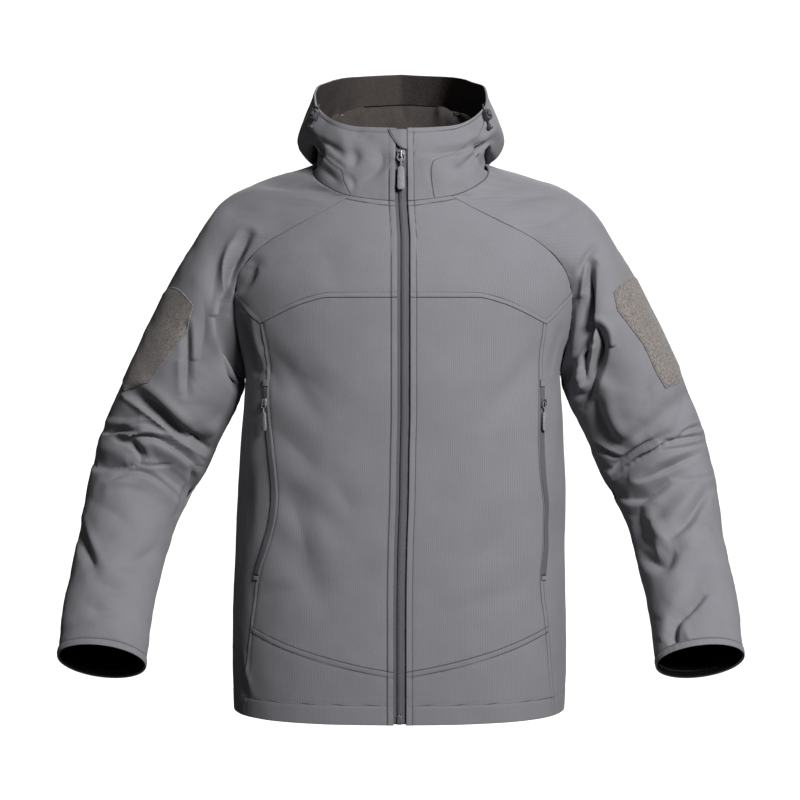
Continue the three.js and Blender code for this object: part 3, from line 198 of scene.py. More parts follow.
body = curves(BODY, "z")
neck_z = curve(NECK, "angle", "z")
hood = curves(HOOD, "angle")


def fold_depth(folds, place, scale):
    """How far the cloth falls into a set of folds at a place."""
    here = scale(*place)
    depth = 0
    for a0, b0, a1, b1, width, most in zip(*folds.values()):
        start, end = scale(a0, b0), scale(a1, b1)
        along = end - start
        share = np.clip((here - start) @ along / (along @ along), 0, 1)
        away = np.linalg.norm(here - start - share[..., None] * along, axis=-1) / width
        fade = np.sin(np.pi * np.clip(0.12 + 0.76 * share, 0, 1))
        depth = depth + most * fade * np.exp(-away * away)
    return depth


def side_folds(on_left, folds, place, scale):
    """The folds of the left or the right side, place by place."""
    return np.where(on_left, fold_depth(folds[1], place, scale), fold_depth(folds[-1], place, scale))


def pair(a, b):
    return np.stack(np.broadcast_arrays(np.asarray(a, float), np.asarray(b, float)), axis=-1)


def on_cloth(radius, rise):
    """A function from an angle and a height, ring or share to millimetres along the cloth."""
    return lambda angle, up: pair(np.radians(angle) * radius, np.multiply(up, rise))


body_scale = on_cloth(BODY_RADIUS, 1)
sleeve_scale = on_cloth(SLEEVE_RADIUS, RING_SPACING)
hood_scale = on_cloth(HOOD_RADIUS, HOOD_LENGTH)


def body_section(angle, z):
    """The body's outer surface at an angle from the centre front, in degrees, and a height."""
    angle, z = np.broadcast_arrays(np.asarray(angle, float), np.asarray(z, float))
    angle = (angle + 180) % 360 - 180
    a = np.radians(angle)
    depth = np.where(np.abs(angle) <= 90, body["front"](z), body["back"](z))
    power = body["power"](z)
    reach = (np.abs(np.sin(a)) / body["half_width"](z)) ** power + (np.abs(np.cos(a)) / depth) ** power
    radius = reach ** (-1 / power) - side_folds(angle > 0, BODY_FOLDS, (np.abs(angle), z), body_scale)
    return np.stack([radius * np.sin(a) + body["sway"](z), -radius * np.cos(a), z], axis=-1)


def body_normal(angle, z):
    right = body_section(angle + 0.5, z) - body_section(angle - 0.5, z)
    upward = body_section(angle, z + 1) - body_section(angle, z - 1)
    return unit(np.cross(right, upward))


def angle_at(x, z):
    """The angle round the body of the place that lies x from the centre line on its front."""
    power = body["power"](z)
    share = np.clip(x / body["half_width"](z), 0, 1)
    depth = body["front"](z) * (1 - share**power) ** (1 / power)
    return np.degrees(np.arctan2(x, depth))


def seam_curves(rows):
    angle = np.degrees(np.arctan2(rows["x"], -rows["y"]))
    return curves({"z": rows["z"], "angle": angle, "turn": rows["turn"]}, "z")


raglan_front = seam_curves(RAGLAN_FRONT)
raglan_back = seam_curves(RAGLAN_BACK)


def neck_end(seam, low, high):
    """The height at which a raglan seam runs into the neck seam."""
    for _ in range(40):
        middle = (low + high) / 2
        if middle < neck_z(seam["angle"](middle)):
            low = middle
        else:
            high = middle
    return low


FRONT_CORNER_Z = neck_end(raglan_front, -75, -40)
BACK_CORNER_Z = neck_end(raglan_back, -25, 12)
FRONT_CORNER = float(raglan_front["angle"](FRONT_CORNER_Z))
BACK_CORNER = float(raglan_back["angle"](BACK_CORNER_Z))

# Seams are lines of (angle, height) on one side, each of so many points
LINE_POINTS = 121


def line(at):
    """A line as its dense points, from a function of the share of the way along it."""
    return np.stack(at(np.linspace(0, 1, LINE_POINTS)), axis=-1)


def chain(*lines):
    """Lines joined end to end. Each comes with its weight, and the result is a function of a share."""
    weights = np.cumsum([0] + [weight for _, weight in lines]) / sum(weight for _, weight in lines)
    shares = np.concatenate([
        np.linspace(low, high, LINE_POINTS) for low, high in zip(weights[:-1], weights[1:])
    ])
    points = np.concatenate([points for points, _ in lines])
    return lambda share: np.stack([np.interp(share, shares, points[:, k]) for k in (0, 1)], axis=-1)


def lerp(a, b, share):
    return a + (b - a) * share


def front_seams(side):
    edge_x = ZIP_OPENING[side]
    pocket_x = curve(POCKET_SEAM[side], "z", "x")
    chest_z = curve(CHEST_SEAM, "x", "z")
    hem_z = curve(HEM_SEAM, "x", "z")
    corner_x, corner_z = CHEST_SEAM["x"][-1], CHEST_SEAM["z"][-1]
    low_x, low_z = HEM_SEAM["x"][-1], HEM_SEAM["z"][-1]
    hem_corner = angle_at(pocket_x(HEM_Z), HEM_Z)
    edge_top = neck_z(FRONT_EDGE_ANGLE)
    across = lambda x, z: (angle_at(x, z), z + 0 * x)
    opening = lambda low, high: line(lambda s: across(edge_x + 0 * s, lerp(low, high, s)))

    def pocket(low, high):
        return line(lambda s: across(pocket_x(lerp(low, high, s)), lerp(low, high, s)))

    def between(low_end, high_end, z):
        return line(lambda s: across(lerp(low_end, high_end, s), z(lerp(low_end, high_end, s))))

    def raglan(low, high, seam):
        return line(lambda s: (seam["angle"](lerp(low, high, s)), lerp(low, high, s)))

    def outer(s):
        start = angle_at(corner_x, corner_z)
        return lerp(start, raglan_front["angle"](CHEST_SEAM_END_Z), s), lerp(corner_z, CHEST_SEAM_END_Z, s)

    def neck(s):
        angle = lerp(angle_at(edge_x, edge_top), FRONT_CORNER, s)
        return angle, neck_z(angle)

    return dict(
        chest_inner=between(edge_x, corner_x, chest_z),
        chest_outer=line(outer),
        hem_seam=between(edge_x, low_x, hem_z),
        hem_inner=between(edge_x, pocket_x(HEM_Z), lambda x: HEM_Z + 0 * x),
        hem_outer=line(lambda s: (lerp(hem_corner, 90, s), HEM_Z + 0 * s)),
        edge_hem=opening(HEM_Z, hem_z(edge_x)),
        edge_front=opening(hem_z(edge_x), chest_z(edge_x)),
        edge_yoke=opening(chest_z(edge_x), edge_top),
        pocket_low=pocket(HEM_Z, low_z),
        pocket_high=pocket(low_z, corner_z),
        side_seam=line(lambda s: (90 + 0 * s, lerp(HEM_Z, UNDERARM_Z, s))),
        raglan_yoke=raglan(CHEST_SEAM_END_Z, FRONT_CORNER_Z, raglan_front),
        raglan_side=raglan(CHEST_SEAM_END_Z, UNDERARM_Z, raglan_front),
        raglan_back=raglan(UNDERARM_Z, BACK_CORNER_Z, raglan_back),
        neck_front=line(neck),
    )


def patch(bottom, top, left, right, across, up):
    """Cells between four edges that share their corners, at shares across and up, as (angle, height)."""
    s, t = across[None, :, None], up[:, None, None]
    low, high = bottom(across)[None], top(across)[None]
    start, end = left(up)[:, None], right(up)[:, None]
    corners = lerp(lerp(low[:, :1], low[:, -1:], s), lerp(high[:, :1], high[:, -1:], s), t)
    return lerp(low, high, t) + lerp(start, end, s) - corners


def between_points(points, place, pick):
    """Places on smooth centripetal lines through rows of points. pick takes the points of a row."""
    p = np.concatenate([[2 * points[0] - points[1]], points, [2 * points[-1] - points[-2]]])
    i = np.minimum(place.astype(int), len(points) - 2)
    p0, p1, p2, p3 = (pick(p, i + k) for k in range(4))
    w = (place - i).reshape(-1, *[1] * (p1.ndim - 1))
    root = lambda a, b: np.sqrt(np.linalg.norm(b - a, axis=-1, keepdims=True))
    d0, d1, d2 = root(p0, p1), root(p1, p2), root(p2, p3)
    d1 = np.where(d1 < 1e-4, 1, d1)
    d0, d2 = np.where(d0 < 1e-4, d1, d0), np.where(d2 < 1e-4, d1, d2)
    m1 = ((p1 - p0) / d0 - (p2 - p0) / (d0 + d1) + (p2 - p1) / d1) * d1
    m2 = ((p2 - p1) / d1 - (p3 - p1) / (d1 + d2) + (p3 - p2) / d2) * d1
    return p1 + w * (m1 + w * (3 * (p2 - p1) - 2 * m1 - m2 + w * (2 * (p1 - p2) + m1 + m2)))


def centripetal(points, shares):
    """Places at shares of smooth lines through rows of points, one line for each column."""
    return between_points(points, np.asarray(shares, float) * (len(points) - 1), lambda p, row: p[row])


def each_along(points, shares):
    """As centripetal, but with one share for each line."""
    column = np.arange(len(shares))
    return between_points(points, shares * (len(points) - 1), lambda p, row: p[row, column])


RINGS = len(SLEEVE["z"])
LAST_RING = RINGS - 1


def ring_points(side, rings, turns, swell=0.0):
    """Points round the sleeve at rows of a ring table and turns round the arm."""
    col = {name: values[:, None] for name, values in rings.items()}
    a = np.radians(turns)[None, :]
    tilt, pitch = np.radians(col["tilt"]), np.radians(col["pitch"])
    out = (col["out"] + swell) * np.cos(a)
    deep = (col["depth"] + swell) * np.sin(a)
    x = col["x"] + col["bow"] * np.abs(np.sin(a)) + np.sin(tilt) * out - np.cos(tilt) * np.sin(pitch) * deep
    y = col["y"] - np.cos(pitch) * deep
    z = col["z"] + np.cos(tilt) * out + np.sin(tilt) * np.sin(pitch) * deep
    return np.stack(np.broadcast_arrays(side * x + col["sway"], y, z), axis=-1)


def sleeve_head(spacing):
    """The sleeve's start as rows of (turn, angle, height), from the overarm seam round the front and
    the underarm to the overarm seam again, and the number of the underarm's row."""
    def neck(corner, turn):
        angle = lerp(90, corner, spacing["neck"])
        return np.stack([lerp(OVERARM_TURN, turn, spacing["neck"]), angle, neck_z(angle)], axis=-1)

    def raglan(seam, low, high, shares):
        z = lerp(low, high, shares)
        return np.stack([seam["turn"](z), seam["angle"](z), z], axis=-1)

    front = np.concatenate([
        neck(FRONT_CORNER, raglan_front["turn"](FRONT_CORNER_Z)),
        raglan(raglan_front, FRONT_CORNER_Z, CHEST_SEAM_END_Z, spacing["yoke"])[1:],
        raglan(raglan_front, CHEST_SEAM_END_Z, UNDERARM_Z, spacing["low"])[1:],
    ])
    back = np.concatenate([
        raglan(raglan_back, UNDERARM_Z, BACK_CORNER_Z, spacing["back"])[1:],
        neck(BACK_CORNER, raglan_back["turn"](BACK_CORNER_Z))[::-1][1:-1],
    ])
    return np.concatenate([front, back]), len(front) - 1


def sleeve_centre(side, ring):
    place = [np.interp(ring, np.arange(RINGS), SLEEVE[name]) for name in "xyz"]
    sway = np.interp(ring, np.arange(RINGS), SLEEVE["sway"])
    return np.stack([side * place[0] + sway, place[1], place[2]], axis=-1)


def sleeve_surface(side, head, rings):
    """The sleeve's places along its lengthwise lines, with its folds; ring -1 is the head."""
    turn, angle, z = head.T
    start = body_section(side * angle, z)
    lines = np.concatenate([start[None], ring_points(side, SLEEVE, turn)])
    places = centripetal(lines, np.clip((rings + 1) / RINGS, 0, 1))
    folds = fold_depth(SLEEVE_FOLDS[side], (turn[None, :], rings[:, None]), sleeve_scale)
    depth = folds * smooth(-0.6, 0.4, rings)[:, None]
    inward = unit(sleeve_centre(side, rings)[:, None] - places)
    return places + inward * depth[..., None]


def sleeve_loop(side, spacing, rings):
    """The whole sleeve as one loop of columns: its places, outward directions and turns."""
    head, split = sleeve_head(spacing)
    places = sleeve_surface(side, head, rings)
    around = np.roll(places, -1, axis=1) - np.roll(places, 1, axis=1)
    down = np.concatenate([places[1:2] - places[:1], places[2:] - places[:-2], places[-1:] - places[-2:-1]])
    normals = unit(np.cross(around, down)) * side
    angle, z = head[:, 1], head[:, 2]
    shared = body_normal(side * angle, z)
    start = unit(places[1] - places[0])
    away = np.maximum(smooth(0.25, 0.5, dot(start, shared)), 1 - smooth(-0.1, 0.3, dot(normals[0], shared)))
    away = np.where(z > neck_z(angle) - 1, 0, away)[:, None]
    normals[0] = unit(lerp(normals[0], shared, 1 - away))
    places[0] += start * (SEAM_GAP + FOLD_GAP * away)
    return dict(places=places, normals=normals, turns=head[:, 0], split=split)


def hood_points(angles, shares):
    """The hood's places, at rows of shares from the neck seam to the rim. angles has a row for each."""
    flat_angles, flat_shares = np.broadcast_arrays(angles, shares)
    shape = flat_angles.shape
    angle, share = flat_angles.ravel(), flat_shares.ravel()
    away = np.minimum(angle, 360 - angle)
    side = np.where(angle > 180, -1, 1)
    base = body_section(side * away, neck_z(away))
    a = np.radians(side * away)
    out = np.stack([np.sin(a), -np.cos(a), 0 * a], axis=-1)
    stops = [base]
    for name in ("crest", "floor", "bulge", "rim"):
        stop = base + out * hood[f"{name}_out"](away)[:, None]
        stop[:, 2] = hood[f"{name}_z"](away)
        stops.append(stop)
    place = each_along(np.stack(stops), share)
    depth = side_folds(angle <= 180, HOOD_FOLDS, (away, share), hood_scale) * smooth(0, 0.12, share)
    return (place - out * depth[:, None]).reshape(*shape, 3)


# The collar's seam on the neck side of the hood, by the share of the way up from the neck seam
COLLAR_SEAM = {
    1: table(
        "share angle", (0, 22.6), (0.3, 21), (0.5, 23), (0.62, 40), (0.8, 62), (1, 76),
    ),
    -1: table(
        "share angle",
        (0, 33.2), (0.12, 38), (0.3, 42), (0.42, 52), (0.6, 68), (0.8, 78), (1, 84),
    ),
}
COLLAR_FOOT = {1: 5 / 8, -1: 1}
# Corners of the loop panels, as turns round the arm and rings along it
LOOP_PANEL = {
    1: dict(
        high=[(-24, 2.5), (0, 2.08), (36, 1.65), (64, 1.23)],
        low=[(-28, 4.0), (3, 4.25), (30, 4.55), (56, 4.49)],
        back=[(-28, 4.0), (-36, 3.3), (-24, 2.5)],
        front=[(56, 4.49), (59, 4.01), (59, 3.1), (69, 1.77), (64, 1.23)],
    ),
    -1: dict(
        high=[(-22, 2.7), (12, 2.32), (43, 1.83), (69, 1.53)],
        low=[(-28, 4.3), (19, 4.67), (32, 4.79), (61, 4.25)],
        back=[(-28, 4.3), (-36, 3.4), (-22, 2.7)],
        front=[(61, 4.25), (67, 3.46), (74, 2.38), (69, 1.53)],
    ),
}
GRID_STEP = 4.3
SEAM_ROLL = 0.9
STITCH_PITCH = 3.0
STITCH = (2.2, 0.55, 0.45)
NECK_TOP = 31.0
# The binding reaches up over the sleeve by its tuck
CUFF_BAND = 9.0
CUFF_TUCK = 1.4
CUFF_RADIUS = 56.0

# Creases and ridges of the cloth. Each runs through three places of the front or back view, with
# its width above and below that line and its depth; a ridge has a depth below zero.
CREASE = "x0 z0 x1 z1 x2 z2 upper lower depth"
FRONT_CREASES = {
    "body": table(
        CREASE,
        (-185, -138, -189, -157, -205, -173, 8, 4, 5), (-200, -211, -194, -240, -183, -273, 6, 5, 8),
        (-174, -143, -125, -137, -88, -122, 16, 16, 1.6), (-130, -276, -110, -288, -87, -305, 16, 18, 2.6),
        (-175, -261, -164, -274, -151, -299, 9, 10, 2), (-159, -346, -133, -368, -105, -394, 18, 16, 3),
        (-136, -433, -125, -470, -115, -509, 13, 13, 3), (-83, -409, -70, -428, -60, -453, 16, 16, 2.2),
        (-88, -555, -58, -535, -36, -505, 16, 16, 1.8), (-174, -560, -156, -546, -138, -547, 10, 12, 1.8),
        (-191, -398, -194, -436, -196, -487, 8, 8, 2), (-208, -632, -203, -656, -196, -683, 4, 5, 5),
        (-116, -104, -88, -137, -78, -167, 20, 20, 1.4), (24, -135, 61, -122, 111, -129, 20, 20, 1.2),
        (86, -506, 118, -482, 149, -433, 20, 20, 1.6), (202, -221, 197, -246, 192, -269, 6, 6, 2.6),
        (212, -240, 207, -260, 204, -283, 5, 5, 4), (208, -311, 208, -362, 203, -412, 7, 7, 1.6),
        (48, -579, 98, -556, 149, -546, 14, 14, 1.2), (36, -332, 48, -394, 43, -468, 22, 22, 1.2),
    ),
    "hood": table(
        CREASE,
        (-105, 9, -107, -4, -116, -12, 6, 5, 10), (-104, 12, -90, -6, -74, -19, 3, 2.5, -2.5),
        (104, -12, 113, -14, 121, -17, 5, 3, 8),
        (-64, 7, -57, -6, -61, -16, 6, 5, 3), (-27, 3, -27, -19, -56, -39, 7, 6, 4),
        (-55, 30, -52, 22, -49, 15, 2.5, 2.5, 1.6), (-45, 27, -42, 19, -38, 12, 2.5, 2.5, 1.4),
        (-76, 25, -69, 9, -70, -8, 6, 6, -2), (-119, 33, -100, 5, -74, -18, 3.5, 4, 3.5),
        (-100, -17, -89, -27, -79, -36, 5, 5, 2.4), (-66, -29, -61, -36, -61, -46, 4, 4, 2.2),
        (31, -2, 67, 2, 98, 12, 6, 4, 4), (33, -7, 36, -24, 41, -42, 5, 5, 1.4),
        (29, 3, 34, -9, 31, -29, 9, 9, -2.2), (97, 11, 103, -3, 112, -8, 8, 4, 12),
        (108, 32, 114, 37, 117, 40, 3, 3, 3), (59, -9, 77, -21, 87, -7, 6, 6, 2),
        (49, 24, 69, 33, 94, 66, 7, 7, 1.6),
    ),
    "sleeve_right": table(
        CREASE,
        (-334, -307, -305, -333, -277, -363, 9, 5, 9), (-357, -307, -308, -341, -255, -386, 3, 4, -3.5),
        (-270, -357, -257, -371, -246, -377, 13, 5, 8), (-376, -347, -353, -333, -334, -329, 12, 8, 3.5),
        (-386, -354, -364, -352, -342, -353, 6, 1.5, 6), (-373, -355, -320, -356, -283, -371, 2, 2, -2),
        (-342, -358, -298, -363, -264, -397, 3, 6, 7), (-358, -347, -327, -340, -304, -354, 3, 4, 1.8),
        (-364, -363, -342, -371, -333, -388, 6, 3, 4.5), (-339, -390, -321, -395, -297, -394, 3, 2, 2),
        (-398, -398, -377, -398, -352, -396, 13, 4, 7), (-373, -415, -328, -404, -283, -443, 7, 4, 3.5),
        (-309, -401, -288, -419, -277, -438, 6, 4, 3.2), (-378, -423, -365, -416, -334, -418, 7, 7, -2),
        (-400, -440, -367, -452, -338, -472, 14, 12, 3), (-412, -475, -399, -497, -383, -518, 6, 8, 5.5),
        (-269, -402, -275, -430, -287, -460, 4, 5, 4.5), (-381, -533, -359, -542, -338, -548, 8, 7, 2.6),
        (-387, -563, -367, -569, -345, -568, 7, 6, 2.2), (-352, -517, -329, -511, -313, -498, 8, 8, 2.2),
        (-272, -216, -271, -259, -272, -302, 5, 6, 3.6), (-249, -183, -249, -221, -254, -259, 9, 9, 2.2),
        (-193, -102, -208, -135, -218, -183, 6, 6, 8), (-218, -178, -222, -221, -208, -293, 6, 7, 12),
        (-216, -117, -226, -158, -227, -201, 6, 6, -3.5), (-179, -33, -130, -39, -81, -48, 7, 6, 3),
        (-177, -50, -132, -54, -89, -64, 8, 8, -2), (-221, -73, -205, -68, -181, -69, 9, 9, 1.8),
        (-424, -601, -406, -589, -382, -585, 5, 5, 1.4),
    ),
    "sleeve_left": table(
        CREASE,
        (274, -405, 295, -389, 326, -364, 15, 3, 10), (277, -412, 305, -389, 334, -369, 3, 2, 4.5),
        (286, -399, 309, -380, 332, -366, 2.5, 2.5, -3), (334, -369, 361, -361, 393, -359, 3, 2, 4),
        (355, -359, 373, -349, 391, -347, 3, 2, 3), (335, -376, 365, -372, 399, -366, 3, 3, 2.2),
        (307, -414, 342, -399, 382, -383, 7, 3, 4), (364, -413, 385, -412, 404, -409, 3, 3, 1.6),
        (292, -441, 317, -435, 346, -413, 13, 4, 8), (307, -446, 304, -472, 315, -496, 11, 8, 5),
        (395, -429, 370, -458, 340, -481, 9, 5, 6), (306, -505, 326, -518, 343, -498, 13, 7, 7),
        (321, -456, 324, -471, 331, -484, 8, 8, -2), (379, -548, 359, -566, 344, -579, 11, 3, 6),
        (345, -576, 337, -593, 336, -611, 6, 4, 4.5), (349, -583, 353, -599, 359, -608, 6, 6, -1.6),
        (247, -304, 256, -347, 282, -370, 9, 10, 7), (248, -371, 263, -379, 279, -389, 3, 3, 4),
        (373, -299, 364, -321, 347, -352, 10, 10, 2.4), (315, -292, 318, -310, 308, -336, 9, 9, 2.4),
        (242, -138, 238, -196, 234, -287, 4.5, 4.5, 11), (231, -183, 230, -221, 228, -267, 4, 4, 6),
        (244, -219, 254, -249, 231, -322, 6, 6, 11), (245, -117, 234, -133, 228, -148, 4, 4, 3.6),
        (220, -267, 216, -286, 235, -313, 6, 6, 5), (125, -65, 164, -51, 213, -49, 8, 7, 1.8),
        (87, -56, 125, -42, 165, -37, 7, 7, 1.6), (147, -93, 186, -82, 222, -62, 8, 8, 2),
        (381, -457, 397, -468, 414, -490, 7, 7, 1.8), (326, -597, 339, -602, 355, -597, 5, 5, 1.2),
    ),
}
BACK_CREASES = {
    "body": table(
        CREASE,
        (-150, -150, -110, -190, -70, -215, 18, 16, 3), (150, -160, 112, -196, 66, -220, 18, 16, 3),
        (-196, -250, -160, -285, -120, -300, 14, 12, 4), (196, -245, 158, -282, 118, -296, 14, 12, 4),
        (-120, -420, -50, -445, 30, -438, 22, 18, 3), (120, -500, 60, -520, -20, -512, 22, 18, 3),
        (-150, -560, -140, -620, -146, -680, 14, 14, 3), (140, -590, 132, -640, 138, -690, 14, 14, 3),
        (-60, -120, 0, -128, 60, -120, 16, 14, 2),
    ),
    "hood": table(
        CREASE,
        (68, 82, 73, 64, 84, 47, 5, 5, -6), (86, 80, 92, 70, 98, 62, 5, 5, -5),
        (48, 84, 54, 70, 52, 56, 6, 6, 4), (-72, 84, -78, 68, -70, 52, 6, 6, -5),
        (-50, 84, -58, 70, -52, 56, 7, 7, 4), (8, 86, 2, 72, 10, 58, 8, 8, -3),
        (-92, 74, -96, 60, -88, 46, 5, 5, -5), (-90, 60, -60, 20, -20, 0, 12, 10, 3),
        (90, 50, 60, 16, 24, 2, 12, 10, 3), (-10, 80, 0, 40, 4, 10, 14, 14, 2),
        (-110, 20, -80, -10, -40, -26, 9, 8, 2.5), (110, 20, 84, -8, 44, -26, 9, 8, 2.5),
    ),
    "sleeve_right": table(
        CREASE,
        (-380, -350, -345, -372, -300, -372, 10, 7, 6),
        (-390, -400, -350, -405, -290, -395, 10, 8, 5), (-380, -450, -345, -440, -300, -455, 10, 8, 4),
        (-400, -520, -370, -510, -330, -525, 10, 8, 3), (-200, -60, -150, -80, -110, -90, 12, 10, 2.4),
    ),
    "sleeve_left": table(
        CREASE,
        (386, -345, 350, -368, 306, -368, 10, 7, 6),
        (398, -398, 356, -402, 296, -392, 10, 8, 5), (386, -450, 350, -440, 306, -452, 10, 8, 4),
        (406, -520, 376, -510, 336, -525, 10, 8, 3), (206, -60, 156, -80, 116, -90, 12, 10, 2.4),
    ),
}
# How much deeper than read from the flat light of the photo
CREASE_GAIN = {"body": 1.3, "hood": 1.2, "sleeve_left": 1.9, "sleeve_right": 1.9}


def gradient_noise(points, size, seed):
    """Smooth noise from -1 to 1 at places in millimetres, with lumps of about the given size."""
    p = np.asarray(points, float) / size
    low = np.floor(p).astype(np.int64)
    part = p - low
    fade = part**3 * (part * (part * 6 - 15) + 10)
    total = np.zeros(p.shape[:-1])
    for corner in np.ndindex(2, 2, 2):
        cell = low + corner
        mix = cell[..., 0] * 73856093 ^ cell[..., 1] * 19349663 ^ cell[..., 2] * 83492791 ^ seed * 2654435
        mix = (mix ^ (mix >> 13)) * 1274126177 & 0x7FFFFFFF
        azimuth = (mix & 1023) * (2 * np.pi / 1024)
        height = ((mix >> 10) & 1023) / 511.5 - 1
        flat = np.sqrt(np.maximum(1 - height * height, 0))
        away = part - corner
        slope = away[..., 0] * flat * np.cos(azimuth) + away[..., 1] * flat * np.sin(azimuth)
        slope = slope + away[..., 2] * height
        weight = np.prod(np.where(np.array(corner, bool), fade, 1 - fade), axis=-1)
        total += weight * slope
    return total * 1.6


def crease_depth(rows, x, z):
    """How far the cloth falls into a set of creases at places of the front or back view."""
    depth = np.zeros(np.broadcast(x, z).shape)
    for x0, z0, x1, z1, x2, z2, upper, lower, most in zip(*rows.values()):
        t = np.linspace(0, 1, 13)[:, None]
        path = np.array([(x0, z0)]) * (1 - t) * (1 - 2 * t) + 4 * np.array([(x1, z1)]) * t * (1 - t)
        path = path + np.array([(x2, z2)]) * t * (2 * t - 1)
        reach = 3 * max(upper, lower)
        low, high = path.min(axis=0) - reach, path.max(axis=0) + reach
        near = (x > low[0]) & (x < high[0]) & (z > low[1]) & (z < high[1])
        if not near.any():
            continue
        place = np.stack([x[near], z[near]], axis=-1)
        best = np.full(len(place), np.inf)
        along_best, above_best = np.zeros(len(place)), np.zeros(len(place), bool)
        for k in range(len(path) - 1):
            way = path[k + 1] - path[k]
            share = np.clip((place - path[k]) @ way / (way @ way), 0, 1)
            gap = place - path[k] - share[:, None] * way
            far = np.hypot(*gap.T)
            closer = far < best
            best = np.where(closer, far, best)
            along_best = np.where(closer, (k + share) / (len(path) - 1), along_best)
            above_best = np.where(closer, gap[:, 1] > 0, above_best)
        away = best / np.where(above_best, upper, lower)
        fade = np.sin(np.pi * np.clip(0.06 + 0.88 * along_best, 0, 1)) ** 0.6
        valley = 0.7 * np.maximum(1 - away / 1.7, 0) ** 1.35 + 0.3 * np.exp(-away * away)
        roll_over = 0.22 * np.exp(-(((away - 2.1) / 0.8) ** 2)) * above_best * (most > 2.5)
        depth[near] += most * fade * (valley - roll_over)
    return depth


def rumple(region, places, normals):
    """How far the cloth lies below its plain form, from its creases and its soft waves."""
    x, z = places[..., 0], places[..., 2]
    front = smooth(-0.15, 0.35, -normals[..., 1])
    back = smooth(-0.35, 0.25, normals[..., 1])
    depth = front * crease_depth(FRONT_CREASES[region], x, z) * CREASE_GAIN[region]
    depth = depth + back * crease_depth(BACK_CREASES[region], x, z)
    waves = {"body": (70, 0.9, 26, 0.35), "hood": (38, 0.9, 15, 0.4)}.get(region, (44, 1.3, 17, 0.5))
    broad, broad_depth, fine, fine_depth = waves
    depth = depth + broad_depth * gradient_noise(places, broad, 3)
    return depth + fine_depth * gradient_noise(places, fine, 7)


def from_edge(grid, edge):
    """A grid seen from one of its edges: row 0 is that edge."""
    turned = np.swapaxes(grid, 0, 1) if edge in ("left", "right") else grid
    return turned[::-1] if edge in ("top", "right") else turned


def edge_distance(places, edge):
    """The distance of each place of a grid from one of its edges, along the cloth."""
    seen = from_edge(places, edge)
    step = np.linalg.norm(np.diff(seen, axis=0), axis=-1)
    far = np.concatenate([np.zeros((1, seen.shape[1])), np.cumsum(step, axis=0)])
    turned = far[::-1] if edge in ("top", "right") else far
    return np.swapaxes(turned, 0, 1) if edge in ("left", "right") else turned


# Where the rows of a piece lie next to a seam
SEAM_STEPS = np.array([0, 0.5, 1.2, 2.4])


def spread(length, step=GRID_STEP, low=(), high=()):
    """Shares of the way along a seam, closer together near its ends, where the cloth turns in, and at
    the rows of stitches that lie at distances from its low and its high end."""
    ends = SEAM_STEPS / length
    count = max(2, round((length - 5) / step))
    middle = np.linspace(ends[-1], 1 - ends[-1], count + 1)
    close = np.array([-1.3, -0.5, 0, 0.5, 1.5])
    rows = [(distance + close) / length for distance in low]
    rows += [1 - (distance + close) / length for distance in high]
    for row in rows:
        middle = middle[(middle < row.min() - 1e-9) | (middle > row.max() + 1e-9)]
    return np.sort(np.concatenate([ends[:-1], middle, 1 - ends[:-1][::-1], *rows]))


def drawn_back(places, distance, edges):
    """The grid with its edges drawn back square to the seam, which leaves the seam's gap."""
    moved = places.copy()
    for edge in edges:
        seen, result = from_edge(places, edge), from_edge(moved, edge)
        along = unit(np.gradient(seen[0], axis=0))
        inward = seen[1] - seen[0]
        inward = unit(inward - dot(inward, along)[:, None] * along)
        result[0] += inward * distance
    return moved


EDGES = ("bottom", "top", "left", "right")
STITCHES = []
BUILT = {}


def add_object(name, data):
    """An object of the scene, at the origin."""
    piece = bpy.data.objects.new(name, data)
    bpy.context.scene.collection.objects.link(piece)
    return piece


def mesh_object(name, verts, quads, materials, picks=None, uv=None, attributes=None):
    """An object of quads, smooth, with its materials, picked face by face."""
    mesh = bpy.data.meshes.new(name)
    mesh.vertices.add(len(verts))
    mesh.vertices.foreach_set("co", (np.asarray(verts) * MM).ravel())
    mesh.loops.add(quads.size)
    mesh.loops.foreach_set("vertex_index", quads.ravel())
    mesh.polygons.add(len(quads))
    mesh.polygons.foreach_set("loop_start", np.arange(0, quads.size, 4))
    mesh.update(calc_edges=True)
    mesh.polygons.foreach_set("use_smooth", np.ones(len(quads), bool))
    for material in materials:
        mesh.materials.append(material)
    if picks is not None:
        mesh.polygons.foreach_set("material_index", picks)
    if uv is not None:
        layer = mesh.uv_layers.new(name="cloth")
        layer.data.foreach_set("uv", uv[quads.ravel()].ravel())
    for key, values in (attributes or {}).items():
        mesh.attributes.new(key, "FLOAT", "POINT").data.foreach_set("value", values.ravel())
    mesh.update()
    return add_object(name, mesh)


def grid_quads(rows, columns, closed, flip):
    """The quads of a shell: its outer grid, its inner grid and its rims, and where the inner begin."""
    index = np.arange(rows * columns).reshape(rows, columns)
    if closed:
        index = np.concatenate([index, index[:, :1]], axis=1)
    a, b = index[:-1, :-1].ravel(), index[:-1, 1:].ravel()
    c, d = index[1:, 1:].ravel(), index[1:, :-1].ravel()
    half = rows * columns
    rounds = [index[0], index[-1][::-1]]
    if not closed:
        rounds += [index[::-1, 0], index[:, -1]]
    rims = [np.stack([half + r[:-1], half + r[1:], r[1:], r[:-1]], axis=-1) for r in rounds]
    outer = np.stack([a, b, c, d], axis=-1)
    inner = half + np.stack([a, d, c, b], axis=-1)
    quads = np.concatenate([outer, *rims, inner])
    return (quads[:, ::-1] if flip else quads), len(inner)


